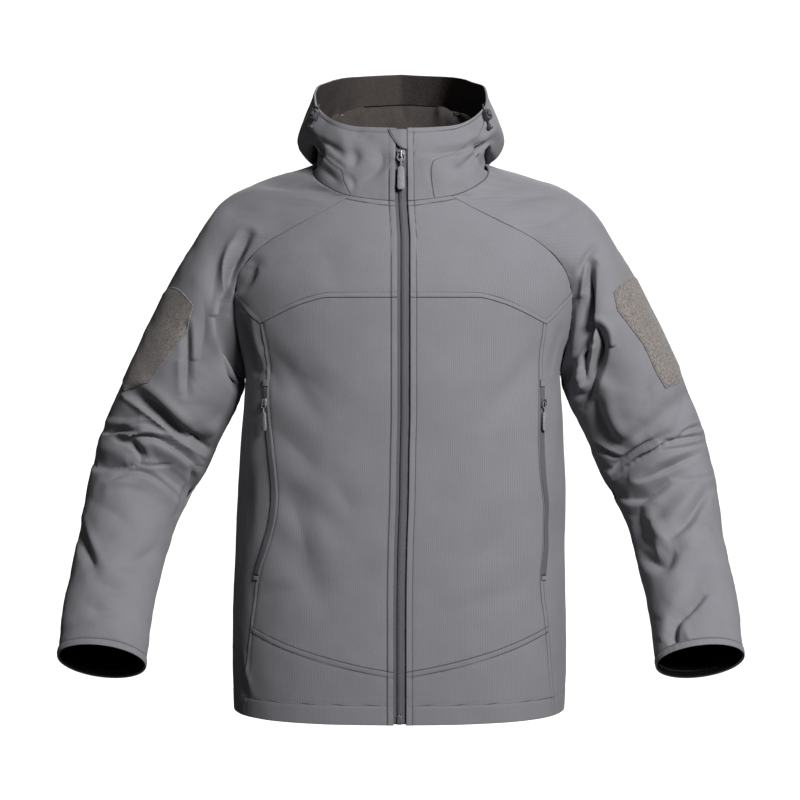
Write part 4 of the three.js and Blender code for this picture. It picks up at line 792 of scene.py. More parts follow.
def shell(
    name, places, normals, uv, region=None, flip=False, closed=False, thickness=CLOTH, stitched=(),
    materials=None, inset=0.02, roll=SEAM_ROLL, loose=(), calm=(), pucker=0.5,
):
    """One cut piece of cloth with its wall. stitched gives rows of stitches as the edge, the distance
    from it and how far the band between them stands up. Creases fade towards the calm edges."""
    edges = EDGES[:2] if closed else EDGES
    far = {edge: edge_distance(places, edge) for edge in edges}
    seam = np.min([far[edge] for edge in edges], axis=0)
    sewn = np.min([far[edge] for edge in edges if edge not in loose] or [seam + 99], axis=0)
    thread = np.full(seam.shape, 99.0)
    band = np.zeros(seam.shape)
    for edge, distance, rise in stitched:
        thread = np.minimum(thread, np.abs(far[edge] - distance))
        band = np.maximum(band, rise * (1 - smooth(distance - 1.3, distance + 1.0, far[edge])))
    base = drawn_back(places, inset, edges) if inset else places
    depth = rumple(region, places, normals) if region else np.zeros(seam.shape)
    for edge in calm:
        depth = depth * smooth(0, 16, far[edge])
    gathered = np.exp(-sewn / 6) * pucker
    depth = depth + gathered * gradient_noise(places, 9, 11) if region else depth
    inner = base - normals * (depth + thickness)[..., None]
    turned = roll - np.sqrt(np.maximum(roll**2 - np.maximum(roll - seam, 0) ** 2, 0))
    outer = base - normals * (depth + turned - band)[..., None]
    rows, columns = seam.shape
    quads, inner_count = grid_quads(rows, columns, closed, flip)
    verts = np.concatenate([outer.reshape(-1, 3), inner.reshape(-1, 3)])
    face, lining = materials or (SHELL, FLEECE)
    picks = np.zeros(len(quads), np.int32)
    picks[-inner_count:] = 1
    both = lambda values: np.concatenate([values.reshape(-1), values.reshape(-1)])
    piece = mesh_object(
        name, verts, quads, [face, lining], picks, np.concatenate([uv.reshape(-1, 2)] * 2),
        {"seam": both(sewn), "thread": both(thread)},
    )
    for edge, distance, _ in stitched:
        rail = from_edge(outer, edge), from_edge(normals, edge), from_edge(far[edge], edge)
        STITCHES.append(stitch_line(*rail, distance))
    BUILT[name] = dict(piece=piece, outer=outer, inner=inner)
    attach(piece, "garment")


def stitch_line(places, normals, far, distance):
    """The places and directions of a line at one distance from a grid's first row."""
    row = np.clip((far < distance).sum(axis=0), 1, len(far) - 1)
    column = np.arange(far.shape[1])
    below, above = far[row - 1, column], far[row, column]
    share = np.clip((distance - below) / (above - below), 0, 1)[:, None]
    line_places = lerp(places[row - 1, column], places[row, column], share)
    return line_places, unit(lerp(normals[row - 1, column], normals[row, column], share))


def srgb(code):
    """A colour of six hexadecimal digits as linear red, green and blue."""
    values = np.array([int(code[i : i + 2], 16) for i in (0, 2, 4)]) / 255
    linear = np.where(values <= 0.04045, values / 12.92, ((values + 0.055) / 1.055) ** 2.4)
    return (*linear.tolist(), 1.0)


def add_node(tree, kind, inputs=None, **settings):
    """A node with its settings, its values and its links from other nodes' sockets."""
    made = tree.nodes.new(kind)
    for key, value in settings.items():
        setattr(made, key, value)
    for key, value in (inputs or {}).items():
        if isinstance(value, bpy.types.NodeSocket):
            tree.links.new(value, made.inputs[key])
        else:
            made.inputs[key].default_value = value
    return made


def new_material(name, colour, roughness, metallic=0.0, **shader):
    """A material with its shader set, and its tree, ready for colour variation and relief."""
    material = bpy.data.materials.new(name)
    material.use_nodes = True
    tree = material.node_tree
    surface = tree.nodes["Principled BSDF"]
    surface.inputs["Base Color"].default_value = srgb(colour)
    surface.inputs["Roughness"].default_value = roughness
    surface.inputs["Metallic"].default_value = metallic
    for key, value in shader.items():
        surface.inputs[key.replace("_", " ").title().replace("Ior", "IOR")].default_value = value
    material.diffuse_color = srgb(colour)
    return material, tree, surface


def weighted(tree, *parts):
    """The sum of sockets, each times its weight."""
    total = 0.0
    for socket, weight in parts:
        inputs = {0: socket, 1: weight, 2: total}
        total = add_node(tree, "ShaderNodeMath", inputs, operation="MULTIPLY_ADD").outputs[0]
    return total


def between(tree, value, low, high, start=0.0, end=1.0):
    """A value run smoothly from start to end as another goes from low to high."""
    inputs = {"Value": value, "From Min": low, "From Max": high, "To Min": start, "To Max": end}
    return add_node(tree, "ShaderNodeMapRange", inputs, interpolation_type="SMOOTHSTEP").outputs[0]


def tinted(tree, dark, light, share):
    mixed = add_node(tree, "ShaderNodeMix", {0: share, 6: srgb(dark), 7: srgb(light)}, data_type="RGBA")
    return mixed.outputs[2]


def relief(tree, surface, layers):
    """Bump on bump, each as its height, its strength and the real depth in millimetres."""
    normal = None
    for height, strength, depth in layers:
        inputs = {"Height": height, "Strength": strength, "Distance": depth * MM}
        if normal is not None:
            inputs["Normal"] = normal
        normal = add_node(tree, "ShaderNodeBump", inputs).outputs[0]
    tree.links.new(normal, surface.inputs["Normal"])


def noise(tree, vector, size, detail=2.0, rough=0.5):
    """Noise with lumps of a real size in millimetres."""
    inputs = {"Vector": vector, "Scale": 1 / (size * MM), "Detail": detail, "Roughness": rough}
    return add_node(tree, "ShaderNodeTexNoise", inputs).outputs[0]


def attribute(tree, name):
    return add_node(tree, "ShaderNodeAttribute", attribute_name=name).outputs["Fac"]


def places_of(tree):
    return add_node(tree, "ShaderNodeTexCoord").outputs["Object"]


def softshell(name, rib_share):
    """Woven polyester face of a bonded softshell: matt, with fine ribs along the weave."""
    material, tree, surface = new_material(
        name, "7c7b80", 0.82, specular_ior_level=0.3, sheen_weight=0.12, sheen_roughness=0.5
    )
    uv = add_node(tree, "ShaderNodeUVMap", uv_map="cloth").outputs[0]
    # The real ribs are 0.5 mm apart; drawn at 2.8 mm, the finest that shows
    ribs = add_node(
        tree, "ShaderNodeTexWave",
        {"Vector": uv, "Scale": 0.314 / (2.8 * MM), "Distortion": 2.2, "Detail": 2, "Detail Scale": 1.5},
        wave_type="BANDS", bands_direction="X",
    ).outputs[1]
    yarn = noise(tree, places_of(tree), 1.1, 3, 0.6)
    cloud = noise(tree, places_of(tree), 45, 2)
    stitch_groove_and_shade = between(tree, attribute(tree, "thread"), 0.1, 1.3)
    seam = between(tree, attribute(tree, "seam"), 0.0, 1.4)
    ease = between(tree, attribute(tree, "thread"), 0.6, 5.0)
    share = weighted(tree, (yarn, 0.55), (cloud, 0.45 - rib_share), (ribs, rib_share))
    colour = tinted(tree, "66656a", "8a898e", share)
    # Painted shade: the colour is darkened in the grooves of the stitching and along the seams, where shadow falls
    for depth, painted_shade_darkest in ((stitch_groove_and_shade, 0.42), (seam, 0.55)):
        inputs = {0: 1.0, 6: colour, 7: between(tree, depth, 0, 1, painted_shade_darkest, 1.0)}
        colour = add_node(tree, "ShaderNodeMix", inputs, data_type="RGBA", blend_type="MULTIPLY").outputs[2]
    tree.links.new(colour, surface.inputs["Base Color"])
    woven = [(ribs, 1.6 * rib_share, 0.1), (yarn, 0.5, 0.16)]
    relief(tree, surface, [*woven, (stitch_groove_and_shade, 0.8, 0.5), (ease, 0.5, 0.5)])
    return material


def grained(name, dark, light, roughness, specular, grains):
    """A dull textile. Each grain has its size, detail, roughness and share of the colour, and its
    relief's strength and depth."""
    material, tree, surface = new_material(name, light, roughness, specular_ior_level=specular)
    made = [(noise(tree, places_of(tree), *grain[:3]), *grain[3:]) for grain in grains]
    share = weighted(tree, *((height, weight) for height, weight, _, _ in made))
    tree.links.new(tinted(tree, dark, light, share), surface.inputs["Base Color"])
    relief(tree, surface, [(height, strength, depth) for height, _, strength, depth in made])
    return material


def loop_pile():
    """Napped nylon loop of a hook-and-loop panel: speckled brown-grey, with no gloss."""
    material, tree, surface = new_material(
        "loop_pile_napped_nylon", "857e7b", 1.0, specular_ior_level=0.1, sheen_weight=0.3
    )
    loops = noise(tree, places_of(tree), 1.6, 4, 0.75)
    speckle = between(tree, noise(tree, places_of(tree), 2.2, 2, 0.7), 0.3, 0.72)
    tree.links.new(tinted(tree, "625d5b", "918a87", speckle), surface.inputs["Base Color"])
    relief(tree, surface, [(loops, 1.0, 0.7), (between(tree, attribute(tree, "thread"), 0, 1.2), 0.8, 0.6)])
    return material


def moulded(name, dark, light, roughness, grit, metallic=0.0, **shader):
    """A hard small part: mottled by handling, with a fine grain left by its mould."""
    material, tree, surface = new_material(name, light, roughness, metallic, **shader)
    grain = noise(tree, places_of(tree), grit, 2, 0.6)
    wear = between(tree, noise(tree, places_of(tree), 4 * grit, 3, 0.6), 0.3, 0.7)
    tree.links.new(tinted(tree, dark, light, wear), surface.inputs["Base Color"])
    gloss = between(tree, grain, 0.2, 0.8, roughness - 0.08, roughness + 0.08)
    tree.links.new(gloss, surface.inputs["Roughness"])
    relief(tree, surface, [(grain, 0.4, 0.08)])
    return material


SHELL = softshell("softshell_face_ribbed_polyester", 0.24)
# The same cloth on the sleeves and the hood, where its ribs hardly show
SMOOTH = softshell("softshell_face_polyester_on_the_arm", 0.08)
# Brushed microfleece: dull, with a short, uneven nap
NAP = [(1.8, 4, 0.65, 0.6, 0.9, 0.6), (6, 3, 0.6, 0.4, 0.5, 0.9)]
FLEECE = grained("microfleece_brushed_polyester", "2b2827", "56504e", 1.0, 0.1, NAP)
# Lining of the sleeves and cuffs: a dark fleece, drawn near black as painted shade for the shadow deep inside the
# sleeves
DARK_LINING_PAINTED_SHADE = grained("sleeve_lining_dark_fleece_painted_shade", "0b0b0c", "161617", 1.0, 0.1, NAP)
LOOP = loop_pile()
# Woven polyester zip tape: dark grey, with a fine herringbone that shows as grain
HERRINGBONE = [(0.9, 2, 0.6, 1.0, 0.7, 0.2)]
TAPE = grained("zip_tape_woven_polyester", "4c4b50", "66656a", 0.75, 0.3, HERRINGBONE)
# Spun polyester thread, the same colour as the cloth, drawn darker with painted shade for its stitch holes, so that
# a row of stitches reads as dots
THREAD_PAINTED_SHADE = moulded("sewing_thread_spun_polyester_painted_shade", "505054", "6b6a6f", 0.7, 0.4)
# Painted zinc casting, mottled, with a dull sheen
METAL = moulded("slider_painted_zinc", "6b6b6e", "8d8d90", 0.38, 0.8, metallic=0.75)
BRIGHT = moulded("zip_box_bright_zinc", "a0a0a2", "c6c6c8", 0.3, 0.8, metallic=0.9)
# Soft moulded rubber of the zip pulls, matt
RUBBER = moulded("zip_pull_moulded_rubber", "6f6f74", "85858a", 0.62, 0.7)
# Injection-moulded acetal of the cord locks, with a soft gloss
PLASTIC = moulded("cord_lock_acetal", "3a3a3d", "525256", 0.32, 0.9)
BUTTON = moulded("cord_button_acetal", "4a4a4d", "606065", 0.35, 0.9)
# Braided elastic cord, with a fine grain
CORD = moulded("elastic_cord_braided_polyester", "2c2c2f", "4c4c50", 0.8, 0.7)


def distances(points):
    """How far along a line each of its points lies."""
    return np.concatenate([[0], np.cumsum(np.linalg.norm(np.diff(points, axis=0), axis=-1))])


def length_of(edge):
    """The length of a seam on the body."""
    cells = edge(np.linspace(0, 1, 60))
    return float(distances(body_section(cells[:, 0], cells[:, 1]))[-1])


# Rows of stitches: the edge, how far they lie from it, and how far the band between them stands up
HEM_ROW = ("bottom", 25, 0.3)
SEAM_ROW = ("top", 7, 0.5)
CHEST_ROW = ("bottom", 7, 0.5)
PANEL_ROW = ("top", 7, 0.6)
ZIP_ROW = ("left", 8, 0.9)
POCKET_ROW = ("right", 6, 0.5)
RIM_ROW = ("top", 6.5, 0.5)
# The distance of the stitches round a loop panel from its edges, and the panel's width and length
LOOP_ROW = 2.6
LOOP_SIZE = (112, 150)


def body_piece(name, side, bottom, top, left, right, stitched=(), loose=()):
    """One piece of the body's cloth between its four seams."""
    rows = {edge: [row[1] for row in stitched if row[0] == edge] for edge in EDGES}
    across = spread(max(length_of(bottom), length_of(top)), low=rows["left"], high=rows["right"])
    up = spread(max(length_of(left), length_of(right)), low=rows["bottom"], high=rows["top"])
    cells = patch(bottom, top, left, right, across, up)
    angle, z = side * cells[..., 0], cells[..., 1]
    uv = body_scale(angle, z) * MM
    shell(
        name, body_section(angle, z), body_normal(angle, z), uv, "body", flip=side < 0,
        stitched=stitched, loose=loose,
    )


for tail, side in SIDES.items():
    seams = front_seams(side)
    whole = {key: chain((points, 1)) for key, points in seams.items()}
    body_piece(
        f"shell_yoke_{tail}", side,
        chain((seams["chest_inner"], 6), (seams["chest_outer"], 2)), whole["neck_front"],
        whole["edge_yoke"], whole["raglan_yoke"], stitched=[CHEST_ROW, SEAM_ROW, ZIP_ROW],
    )
    body_piece(
        f"shell_front_{tail}", side, whole["hem_seam"], whole["chest_inner"], whole["edge_front"],
        whole["pocket_high"], stitched=[POCKET_ROW, ZIP_ROW],
    )
    body_piece(
        f"shell_hem_panel_{tail}", side, whole["hem_inner"], whole["hem_seam"], whole["edge_hem"],
        whole["pocket_low"], stitched=[HEM_ROW, PANEL_ROW, ZIP_ROW, POCKET_ROW], loose=["bottom"],
    )
    body_piece(
        f"shell_side_{tail}", side, whole["hem_outer"],
        chain((seams["chest_outer"], 2), (seams["raglan_side"], 4)),
        chain((seams["pocket_low"], 2), (seams["pocket_high"], 10)), whole["side_seam"],
        stitched=[HEM_ROW], loose=["bottom"],
    )


back_seams = front_seams(1)
hem_back = chain((line(lambda s: (lerp(90, 270, s), HEM_Z + 0 * s)), 1))


def neck_back_line(s):
    angle = lerp(BACK_CORNER, 360 - BACK_CORNER, s)
    return angle, neck_z(np.minimum(angle, 360 - angle))


def mirrored(edge):
    """The left edge of the back as its right one, at angles past the centre back."""
    def at(share):
        cells = edge(share).copy()
        cells[:, 0] = 360 - cells[:, 0]
        return cells

    return at


back_left = chain((back_seams["side_seam"], 12), (back_seams["raglan_back"], 8))
body_piece(
    "shell_back", 1, hem_back, chain((line(neck_back_line), 1)), back_left, mirrored(back_left),
    stitched=[HEM_ROW, SEAM_ROW], loose=["bottom"],
)

# Sleeves: each half takes its columns from one loop round the arm
SLEEVE_ROWS = 220
HEAD_LENGTH = 48
LOOPS = {}
for tail, side in SIDES.items():
    spacing = dict(neck=spread(100, 3.4), yoke=spread(190, 3), low=spread(115, 2.8), back=spread(330, 4))
    first = SEAM_STEPS / HEAD_LENGTH
    rings = np.concatenate([first[:-1] - 1, np.linspace(first[-1] - 1, LAST_RING, SLEEVE_ROWS)])
    loop = sleeve_loop(side, spacing, rings)
    LOOPS[side] = dict(loop, rings=rings)
    split, count = loop["split"], loop["places"].shape[1]
    for half, picked in (("front", np.arange(split + 1)), ("back", np.arange(split, count + 1) % count)):
        turns = np.unwrap(loop["turns"][picked], period=360)
        uv = sleeve_scale(turns[None, :], -rings[:, None]) * MM
        # The sleeve's inner face is near black: dark lining with painted shade for the shadow inside the sleeve
        shell(
            f"shell_sleeve_{half}_{tail}", loop["places"][:, picked], loop["normals"][:, picked], uv,
            f"sleeve_{tail}", flip=side < 0, pucker=0.7, loose=["top"], calm=["bottom"],
            materials=(SMOOTH, DARK_LINING_PAINTED_SHADE),
        )

# Hood and collar, up from the neck seam
HOOD_ROWS = spread(175, 3.2, high=[RIM_ROW[1]])


def hood_piece(name, low, high, columns, stitched=()):
    """low and high give the piece's two edges as angles at a share of the way up."""
    shares = HOOD_ROWS
    start, end = low(shares)[:, None], high(shares)[:, None]
    angles = lerp(start, end, columns[None, :])
    level = np.broadcast_to(shares[:, None], angles.shape)
    places = hood_points(angles, level)
    right = hood_points(angles + 0.5, level) - hood_points(angles - 0.5, level)
    up = hood_points(angles, np.minimum(level + 0.01, 1)) - hood_points(angles, np.maximum(level - 0.01, 0))
    normals = unit(np.cross(right, up))
    foot = angles[0]
    plain = np.minimum(foot, 360 - foot)
    seam_normals = body_normal(np.where(foot > 180, foot - 360, foot), neck_z(plain))
    blend = (1 - smooth(0, 0.05, shares))[:, None, None]
    normals = unit(lerp(normals, seam_normals[None], blend))
    uv = hood_scale(angles, level) * MM
    shell(name, places, normals, uv, "hood", stitched=stitched, loose=["top"], materials=(SMOOTH, FLEECE))


back_at = lambda s: BACK_CORNER + 0 * s
around = lambda at: (lambda s: 360 - at(s))
for tail, side in SIDES.items():
    collar_low = float(angle_at(ZIP_OPENING[side], neck_z(FRONT_EDGE_ANGLE)))
    seam_angle = curve(COLLAR_SEAM[side], "share", "angle")
    foot = lerp(collar_low, FRONT_CORNER, COLLAR_FOOT[side])
    seam_at = lambda s: lerp(foot, seam_angle(s), smooth(0, 0.04, s))
    front_at = lambda s: collar_low + 0 * s
    zip_row = ("left" if side > 0 else "right", *ZIP_ROW[1:])
    pieces = [
        ("collar", front_at, seam_at, spread(62, 2.6, low=[ZIP_ROW[1]]), [RIM_ROW, zip_row]),
        ("hood_side", seam_at, back_at, spread(240, 3.6), [RIM_ROW]),
    ]
    for name, low, high, columns, stitched in pieces:
        if side < 0:
            low, high, columns = around(high), around(low), 1 - columns[::-1]
        hood_piece(f"shell_{name}_{tail}", low, high, columns, stitched)
hood_piece("shell_hood_crown", back_at, around(back_at), spread(150, 3.6), [RIM_ROW])

# Cuffs: an elastic binding round each sleeve's end, gathered a little
for tail, side in SIDES.items():
    last = {name: values[-1] for name, values in SLEEVE.items()}
    before = {name: values[-2] for name, values in SLEEVE.items()}
    way = unit(np.array([last[k] - before[k] for k in "xyz"]))
    far = np.array([-CUFF_TUCK, -1.0, -0.4, 0.5, 1.8, 3.2, 4.8, 6.2, 7.4, 8.2, 8.7, CUFF_BAND])
    share = (far + CUFF_TUCK) / (CUFF_BAND + CUFF_TUCK)
    bulge = 0.3 + 0.9 * np.sin(np.pi * share) ** 0.6
    bands = {name: np.full(len(far), float(last[name])) for name in SLEEVE}
    for k, axis in enumerate("xyz"):
        bands[axis] = last[axis] + way[k] * far
    bands["out"] += bulge
    bands["depth"] += bulge
    turns = np.arange(0, 360, 1.5)
    places = ring_points(side, bands, turns)
    around = np.roll(places, -1, axis=1) - np.roll(places, 1, axis=1)
    down = np.gradient(places, axis=0)
    normals = unit(np.cross(around, down)) * side
    swell = np.sin(np.pi * share)[:, None, None]
    places = places + normals * gradient_noise(places, 5, 21)[..., None] * 0.5 * swell
    uv = pair(np.radians(turns)[None] * CUFF_RADIUS, far[:, None]) * MM
    # The binding's inner face is near black: dark lining with painted shade for the shadow inside the cuff
    shell(
        f"binding_cuff_{tail}", places, normals, uv, closed=True, flip=side < 0, thickness=3.0,
        inset=0, roll=0.5, stitched=[("bottom", 1.6, 0)], loose=["bottom", "top"],
        materials=(SMOOTH, DARK_LINING_PAINTED_SHADE),
    )


def outward(places, flip=False):
    """Outward directions of a grid from its own places."""
    across = np.gradient(places, axis=1)
    up = np.gradient(places, axis=0)
    return unit(np.cross(across, up)) * (-1 if flip else 1)


def laid(name, places, height, thickness, materials, flip=False, stitched=(), roll=0.5):
    """A piece with its inner face at a height over the places of a grid."""
    normals = outward(places, flip)
    uv = pair(edge_distance(places, "left"), edge_distance(places, "bottom")) * MM
    raised = places + normals * (height + thickness)
    shell(
        name, raised, normals, uv, flip=flip, thickness=thickness, materials=materials, inset=0,
        roll=min(roll, 0.8 * thickness), stitched=stitched,
    )


def body_surface(angle, z):
    """The creased face of the body, without the seams' own turn."""
    places, normals = body_section(angle, z), body_normal(angle, z)
    return places - normals * rumple("body", places, normals)[..., None]


def polyline(points):
    """A line through corners, as a function of the share of its length."""
    points = np.array(points, float)
    far = distances(points * (1, 40))
    return lambda share: np.stack([np.interp(share * far[-1], far, points[:, k]) for k in (0, 1)], axis=-1)


def sampled(grid, row, column):
    """Places between the rows and columns of a grid."""
    j = np.minimum(row.astype(int), grid.shape[0] - 2)
    i = np.minimum(column.astype(int), grid.shape[1] - 2)
    v, u = (row - j)[..., None], (column - i)[..., None]
    return lerp(lerp(grid[j, i], grid[j, i + 1], u), lerp(grid[j + 1, i], grid[j + 1, i + 1], u), v)


for tail, side in SIDES.items():
    loop = LOOPS[side]
    edges = [polyline(LOOP_PANEL[side][edge]) for edge in ("low", "high", "back", "front")]
    shares = [spread(length, 2.4, low=[LOOP_ROW], high=[LOOP_ROW]) for length in LOOP_SIZE]
    cells = patch(*edges, *shares)
    turns, rings = cells[..., 0], cells[..., 1]
    order = np.where(loop["turns"] > 180, loop["turns"] - 360, loop["turns"])
    picked = np.argsort(order)
    column = np.interp(turns, order[picked], np.arange(len(picked)))
    row = np.interp(rings, loop["rings"], np.arange(len(loop["rings"])))
    depth = rumple(f"sleeve_{tail}", loop["places"], loop["normals"])
    creased = loop["places"] - loop["normals"] * depth[..., None]
    laid(
        f"loop_pile_panel_{tail}", sampled(creased[:, picked], row, column), 0.25, 1.2, (LOOP, LOOP),
        flip=side > 0, stitched=[(edge, LOOP_ROW, 0) for edge in EDGES],
    )

# Where the fronts' edges meet the neck seam
EDGE_TOP = float(neck_z(FRONT_EDGE_ANGLE))


def centre_line(offset):
    """The front's face from the hem to the collar's top, at one offset from the centre line."""
    z = np.arange(HEM_Z, EDGE_TOP - 1, 1.5)
    side = 1 if offset >= 0 else -1
    low = body_surface(side * angle_at(abs(offset), z), z)
    shares = np.linspace(0, 1, 60)
    angle = float(angle_at(abs(offset), EDGE_TOP))
    angle = 360 - angle if offset < 0 else angle
    high = hood_points(np.full(60, angle), shares)
    return np.concatenate([low, high])


def front_face(z, offset):
    """Places of the front's face at heights and offsets from the centre line."""
    rows = centre_line(offset)
    return np.stack([np.interp(z, rows[:, 2], rows[:, k]) for k in range(3)], axis=-1)


def front_strip(name, offsets, heights, height, thickness):
    """A strip of the zip, under the front's face or on it."""
    places = np.stack([front_face(heights, offset) for offset in offsets], axis=1)
    laid(name, places, height - thickness, thickness, (TAPE, TAPE), roll=0.3)


TAPE_EDGES = {1: (0.3, 13), -1: (-13, -0.3)}
for tail, side in SIDES.items():
    front_strip(
        f"zip_tape_woven_{tail}", np.linspace(*TAPE_EDGES[side], 10),
        np.arange(HEM_Z + 1, NECK_TOP - 1, 2.0), -(CLOTH + 0.35), 0.8,
    )
front_strip("zip_chain_covered", np.linspace(-2.5, 2.5, 9), np.arange(HEM_Z + 13, 26, 2.0), -0.6, 1.6)

# The flap that covers the slider's top widens from the zip's line towards the wearer's right
rise, across = spread(25, 1.2), spread(26, 1.2)
heights = np.linspace(-40, 32, 145)
grid = np.stack([front_face(heights, offset) for offset in range(-20, 11)], axis=1)
offsets = lerp(lerp(6, -19, rise**0.55)[:, None], 8.5, across[None, :])
row = (lerp(4, 29.5, rise)[:, None] + 0 * offsets - heights[0]) * 2
places = sampled(grid, row, offsets + 20)
laid("zip_garage_flap", places, 0.45, 1.4, (SHELL, FLEECE), stitched=[("left", 1.8, 0.2)])

POCKET_TOP, POCKET_BOTTOM, POCKET_HALF = -293, -530, 4
POCKET_GARAGE, POCKET_END = 9, 6
FRONT_RADIUS = 200
for tail, side in SIDES.items():
    seam_x = curve(POCKET_SEAM[side], "z", "x")

    def pocket_grid(bottom, top, half, step):
        z = np.linspace(bottom, top, max(4, round((top - bottom) / step)))[:, None]
        offset = np.degrees(np.linspace(-half, half, 12)[None, :] / FRONT_RADIUS)
        angle = side * angle_at(seam_x(z), z) + offset
        return body_surface(angle, z + 0 * offset)

    garage, end = POCKET_TOP + 0.4, POCKET_BOTTOM - 0.4
    tape = pocket_grid(POCKET_BOTTOM, POCKET_TOP, POCKET_HALF, 2.5)
    laid(f"pocket_zip_tape_{tail}", tape, 0.5, 1.2, (TAPE, TAPE))
    flap = pocket_grid(garage, garage + POCKET_GARAGE, POCKET_HALF + 0.6, 0.9)
    laid(f"pocket_garage_flap_{tail}", flap, 1.0, 1.2, (SHELL, FLEECE))
    stop = pocket_grid(end - POCKET_END, end, POCKET_HALF, 0.9)
    laid(f"pocket_end_box_{tail}", stop, 0.5, 1.2, (SHELL, FLEECE))


def finished(node, name, material, body="garment", bevel=0.35):
    """A hard part of the frame with rounded edges and its own finish."""
    piece = add_object(name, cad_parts[node].data.copy())
    piece.modifiers.new("merge", "WELD").merge_threshold = 2e-5
    rounding = piece.modifiers.new("rounding", "BEVEL")
    rounding.width = bevel * MM
    rounding.segments = 2
    rounding.limit_method = "ANGLE"
    rounding.angle_limit = math.radians(38)
    rounding.use_clamp_overlap = True
    evaluated = piece.evaluated_get(bpy.context.evaluated_depsgraph_get())
    result = bpy.data.meshes.new_from_object(evaluated)
    piece.modifiers.clear()
    piece.data = result
    result.materials.clear()
    result.materials.append(material)
    result.shade_smooth()
    result.set_sharp_from_angle(angle=math.radians(42))
    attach(piece, body)
    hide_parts(node)


finished("front_slider", "slider_front", METAL)
finished("front_pull", "pull_front", RUBBER, "front_pull")
finished("zip_box", "box_front_zip", BRIGHT)
for tail in SIDES:
    pull, button = f"pocket_pull_{tail}", f"cord_button_{tail}"
    finished(f"pocket_slider_{tail}", f"slider_pocket_{tail}", METAL, bevel=0.25)
    finished(pull, f"pull_pocket_{tail}", RUBBER, pull, 0.25)
    finished(f"cord_lock_{tail}", f"lock_cord_{tail}", PLASTIC, bevel=0.7)
    finished(button, f"button_cord_{tail}", BUTTON, button, 0.4)

# The hood's elastic cord: out of its eyelet, down through the lock and on to the ball below
CORD_ROUTE = [
    (104.6, -33.4, 67.2), (105.2, -33.9, 62.6), (106.2, -34.9, 57.4), (107.8, -36.8, 51.4),
    (109.9, -39.6, 46.0), (112.2, -42.6, 41.2), (114.0, -44.0, 37.0),
]
CORD_WIDTH = 2.6
CORD_BALL = 3.2


def elastic_cord(tail, side):
    """The free end of the hood's cord with its ball."""
    points = np.array(CORD_ROUTE)[:, None] * (side, 1, 1)
    points = centripetal(points, np.linspace(0, 1, 18))[:, 0] * MM
    line = bpy.data.curves.new(f"elastic_cord_{tail}", "CURVE")
    line.dimensions = "3D"
    line.bevel_depth = CORD_WIDTH / 2 * MM
    line.bevel_resolution = 5
    line.use_fill_caps = True
    spline = line.splines.new("POLY")
    spline.points.add(len(points) - 1)
    spline.points.foreach_set("co", np.column_stack([points, np.ones(len(points))]).ravel())
    line.materials.append(CORD)
    cord = add_object(line.name, line)
    form = bmesh.new()
    bmesh.ops.create_uvsphere(
        form, u_segments=20, v_segments=14, radius=CORD_BALL * MM, matrix=Matrix.Translation(points[-1])
    )
    mesh = bpy.data.meshes.new(f"cord_ball_{tail}")
    form.to_mesh(mesh)
    form.free()
    mesh.shade_smooth()
    mesh.materials.append(PLASTIC)
    ball = add_object(mesh.name, mesh)
    for piece, node in ((cord, "cord_feed"), (ball, "cord_end")):
        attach(piece, "garment")
        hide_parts(f"{node}_{tail}")


for tail, side in SIDES.items():
    elastic_cord(tail, side)

REPLACED = {
    "shell_back": "back", "shell_hood_crown": "hood_crown", "zip_chain_covered": "zip_chain",
    "zip_garage_flap": "zip_garage",
}
SIDED = {
    "binding_cuff": "cuff", "loop_pile_panel": "loop_panel", "zip_tape_woven": "zip_tape",
    "pocket_zip_tape": "pocket_zip", "pocket_garage_flap": "pocket_garage", "pocket_end_box": "pocket_stop",
}
for part in ("yoke", "front", "hem_panel", "side", "sleeve_front", "sleeve_back", "collar", "hood_side"):
    SIDED[f"shell_{part}"] = part
for tail in SIDES:
    REPLACED.update({f"{name}_{tail}": f"{node}_{tail}" for name, node in SIDED.items()})
for name, node in REPLACED.items():
    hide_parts(node)


def placed_shapes(name, material):
    """A node tree that puts one small rounded shape on each point, turned along its directions."""
    tree = bpy.data.node_groups.new(name, "GeometryNodeTree")
    tree.interface.new_socket("Geometry", in_out="INPUT", socket_type="NodeSocketGeometry")
    for key in ("Length", "Width", "Height"):
        tree.interface.new_socket(key, in_out="INPUT", socket_type="NodeSocketFloat")
    tree.interface.new_socket("Geometry", in_out="OUTPUT", socket_type="NodeSocketGeometry")
    given = add_node(tree, "NodeGroupInput").outputs
    shape = add_node(tree, "GeometryNodeMeshUVSphere", {"Segments": 6, "Rings": 4, "Radius": 0.5})
    way = [add_node(tree, "GeometryNodeInputNamedAttribute", {"Name": key}, data_type="FLOAT_VECTOR").outputs[0]
           for key in ("along", "out")]
    turn = add_node(
        tree, "FunctionNodeAxesToRotation", {"Primary Axis": way[0], "Secondary Axis": way[1]},
        primary_axis="X", secondary_axis="Z",
    ).outputs[0]
    size = add_node(
        tree, "ShaderNodeCombineXYZ", {"X": given["Length"], "Y": given["Width"], "Z": given["Height"]}
    ).outputs[0]
    copies = add_node(
        tree, "GeometryNodeInstanceOnPoints",
        {"Points": given["Geometry"], "Instance": shape.outputs["Mesh"], "Rotation": turn, "Scale": size},
    ).outputs[0]
    real = add_node(tree, "GeometryNodeRealizeInstances", {"Geometry": copies}).outputs[0]
    soft = add_node(tree, "GeometryNodeSetShadeSmooth", {"Geometry": real}).outputs[0]
    done = add_node(tree, "GeometryNodeSetMaterial", {"Geometry": soft, "Material": material}).outputs[0]
    add_node(tree, "NodeGroupOutput", {"Geometry": done})
    return tree


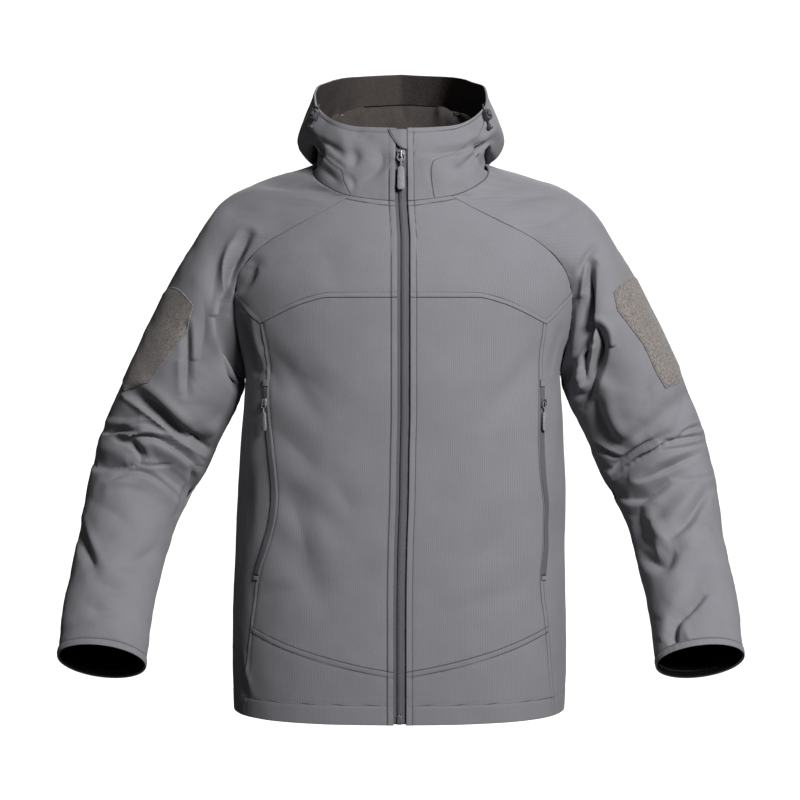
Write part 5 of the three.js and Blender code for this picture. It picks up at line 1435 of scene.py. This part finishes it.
def shapes_along(name, lines, pitch, size, lift, material):
    """Small shapes at a pitch along lines, as one mesh. size is their length, width and height."""
    places, along, out = [], [], []
    for points, normals in lines:
        far = distances(points)
        count = int(far[-1] / pitch)
        if count < 2:
            continue
        at = (np.arange(count) + 0.5) * far[-1] / count
        sample = lambda values: np.stack([np.interp(at, far, column) for column in values.T], axis=-1)
        here, normal = sample(points), unit(sample(normals))
        places.append(here + normal * lift)
        along.append(unit(np.gradient(here, axis=0)))
        out.append(normal)
    mesh = bpy.data.meshes.new(name)
    verts = np.concatenate(places) * MM
    mesh.vertices.add(len(verts))
    mesh.vertices.foreach_set("co", verts.ravel())
    for key, values in (("along", along), ("out", out)):
        mesh.attributes.new(key, "FLOAT_VECTOR", "POINT").data.foreach_set("vector", np.concatenate(values).ravel())
    piece = add_object(name, mesh)
    modifier = piece.modifiers.new("shapes", "NODES")
    modifier.node_group = placed_shapes(f"{name}_tree", material)
    sockets = {item.name: item.identifier for item in modifier.node_group.interface.items_tree}
    for key, value in zip(("Length", "Width", "Height"), size):
        modifier[sockets[key]] = value * MM
    evaluated = piece.evaluated_get(bpy.context.evaluated_depsgraph_get())
    result = bpy.data.meshes.new_from_object(evaluated)
    piece.modifiers.clear()
    piece.data = result
    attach(piece, "garment")


# The nylon coil's turns, drawn 1.6 mm apart
coil_z = np.arange(HEM_Z + 14, 25, 1.0)
coil = front_face(coil_z, 0.0), np.tile((0.0, -1.0, 0.0), (len(coil_z), 1))
shapes_along("zip_coil_turns", [coil], 1.6, (1.0, 4.0, 0.5), -0.2, TAPE)
# The overlocked seam at the neck, along the highest line of the hood's inner face
crest = BUILT["shell_hood_crown"]
top_rows = np.argmax(crest["inner"][: len(HOOD_ROWS) // 2, :, 2], axis=0)
columns = np.arange(len(top_rows))
overlock = crest["inner"][top_rows, columns], np.tile((0.0, 0.0, 1.0), (len(top_rows), 1))
shapes_along("overlocked_neck_seam", [overlock], 2.6, (3.4, 2.6, 1.8), 0.6, DARK_LINING_PAINTED_SHADE)
shapes_along("stitches_topstitched", STITCHES, STITCH_PITCH, STITCH, 0.05, THREAD_PAINTED_SHADE)


def studio():
    """A pale floor and the white walls and ceiling of a round studio, which light nothing themselves."""
    profile = [(0.02, -1.5), (3.5, -1.5), (4.6, -1.3), (5.2, -0.6), (5.2, 3.2), (4.4, 4.4), (0.02, 4.8)]
    around = np.radians(np.arange(0, 360, 10))
    verts = np.array([(r * np.cos(a), r * np.sin(a), z) for r, z in profile for a in around]) / MM
    count = len(around)
    ring = np.arange(count)
    following = (ring + 1) % count
    quad = np.stack([ring, following, count + following, count + ring], axis=-1)
    quads = np.concatenate([k * count + quad for k in range(len(profile) - 1)])
    material, _, surface = new_material("studio_white_paper", "f2f2f2", 0.95)
    surface.inputs["Emission Color"].default_value = (1, 1, 1, 1)
    surface.inputs["Emission Strength"].default_value = 1.0
    room = mesh_object("studio", verts, quads, [material])
    room.visible_diffuse = False
    room.visible_glossy = False


def area_light(name, place, target, size, power):
    light = bpy.data.lights.new(name, "AREA")
    light.shape = "RECTANGLE"
    light.size, light.size_y = size
    light.energy = power
    lamp = add_object(name, light)
    lamp.location = place
    lamp.rotation_euler = (Vector(target) - Vector(place)).to_track_quat("-Z", "Y").to_euler()


studio()
area_light("key", (1.75, -2.85, 1.4), (0.05, 0, -0.35), (1.0, 1.0), 188)
area_light("fill", (-2.6, -1.8, 1.0), (0, 0, -0.35), (1.2, 1.2), 3)
area_light("back", (0.6, 2.4, 1.6), (0, 0, -0.3), (2.0, 1.6), 60)
world = bpy.data.worlds.new("studio")
bpy.context.scene.world = world
world.use_nodes = True
world.node_tree.nodes["Background"].inputs[0].default_value = (1, 1, 1, 1)
world.node_tree.nodes["Background"].inputs[1].default_value = 0.045

view = bpy.data.cameras.new("camera")
view.lens = 90
view.sensor_width = 36
camera = add_object("camera", view)
target = Vector((-0.001, 0, -0.312))
tilt = math.radians(2)
camera.location = target + Vector((0, -math.cos(tilt), math.sin(tilt))) * 2.6
camera.rotation_euler = (target - camera.location).to_track_quat("-Z", "Y").to_euler()
bpy.context.scene.camera = camera
bpy.context.scene.view_settings.view_transform = "Standard"
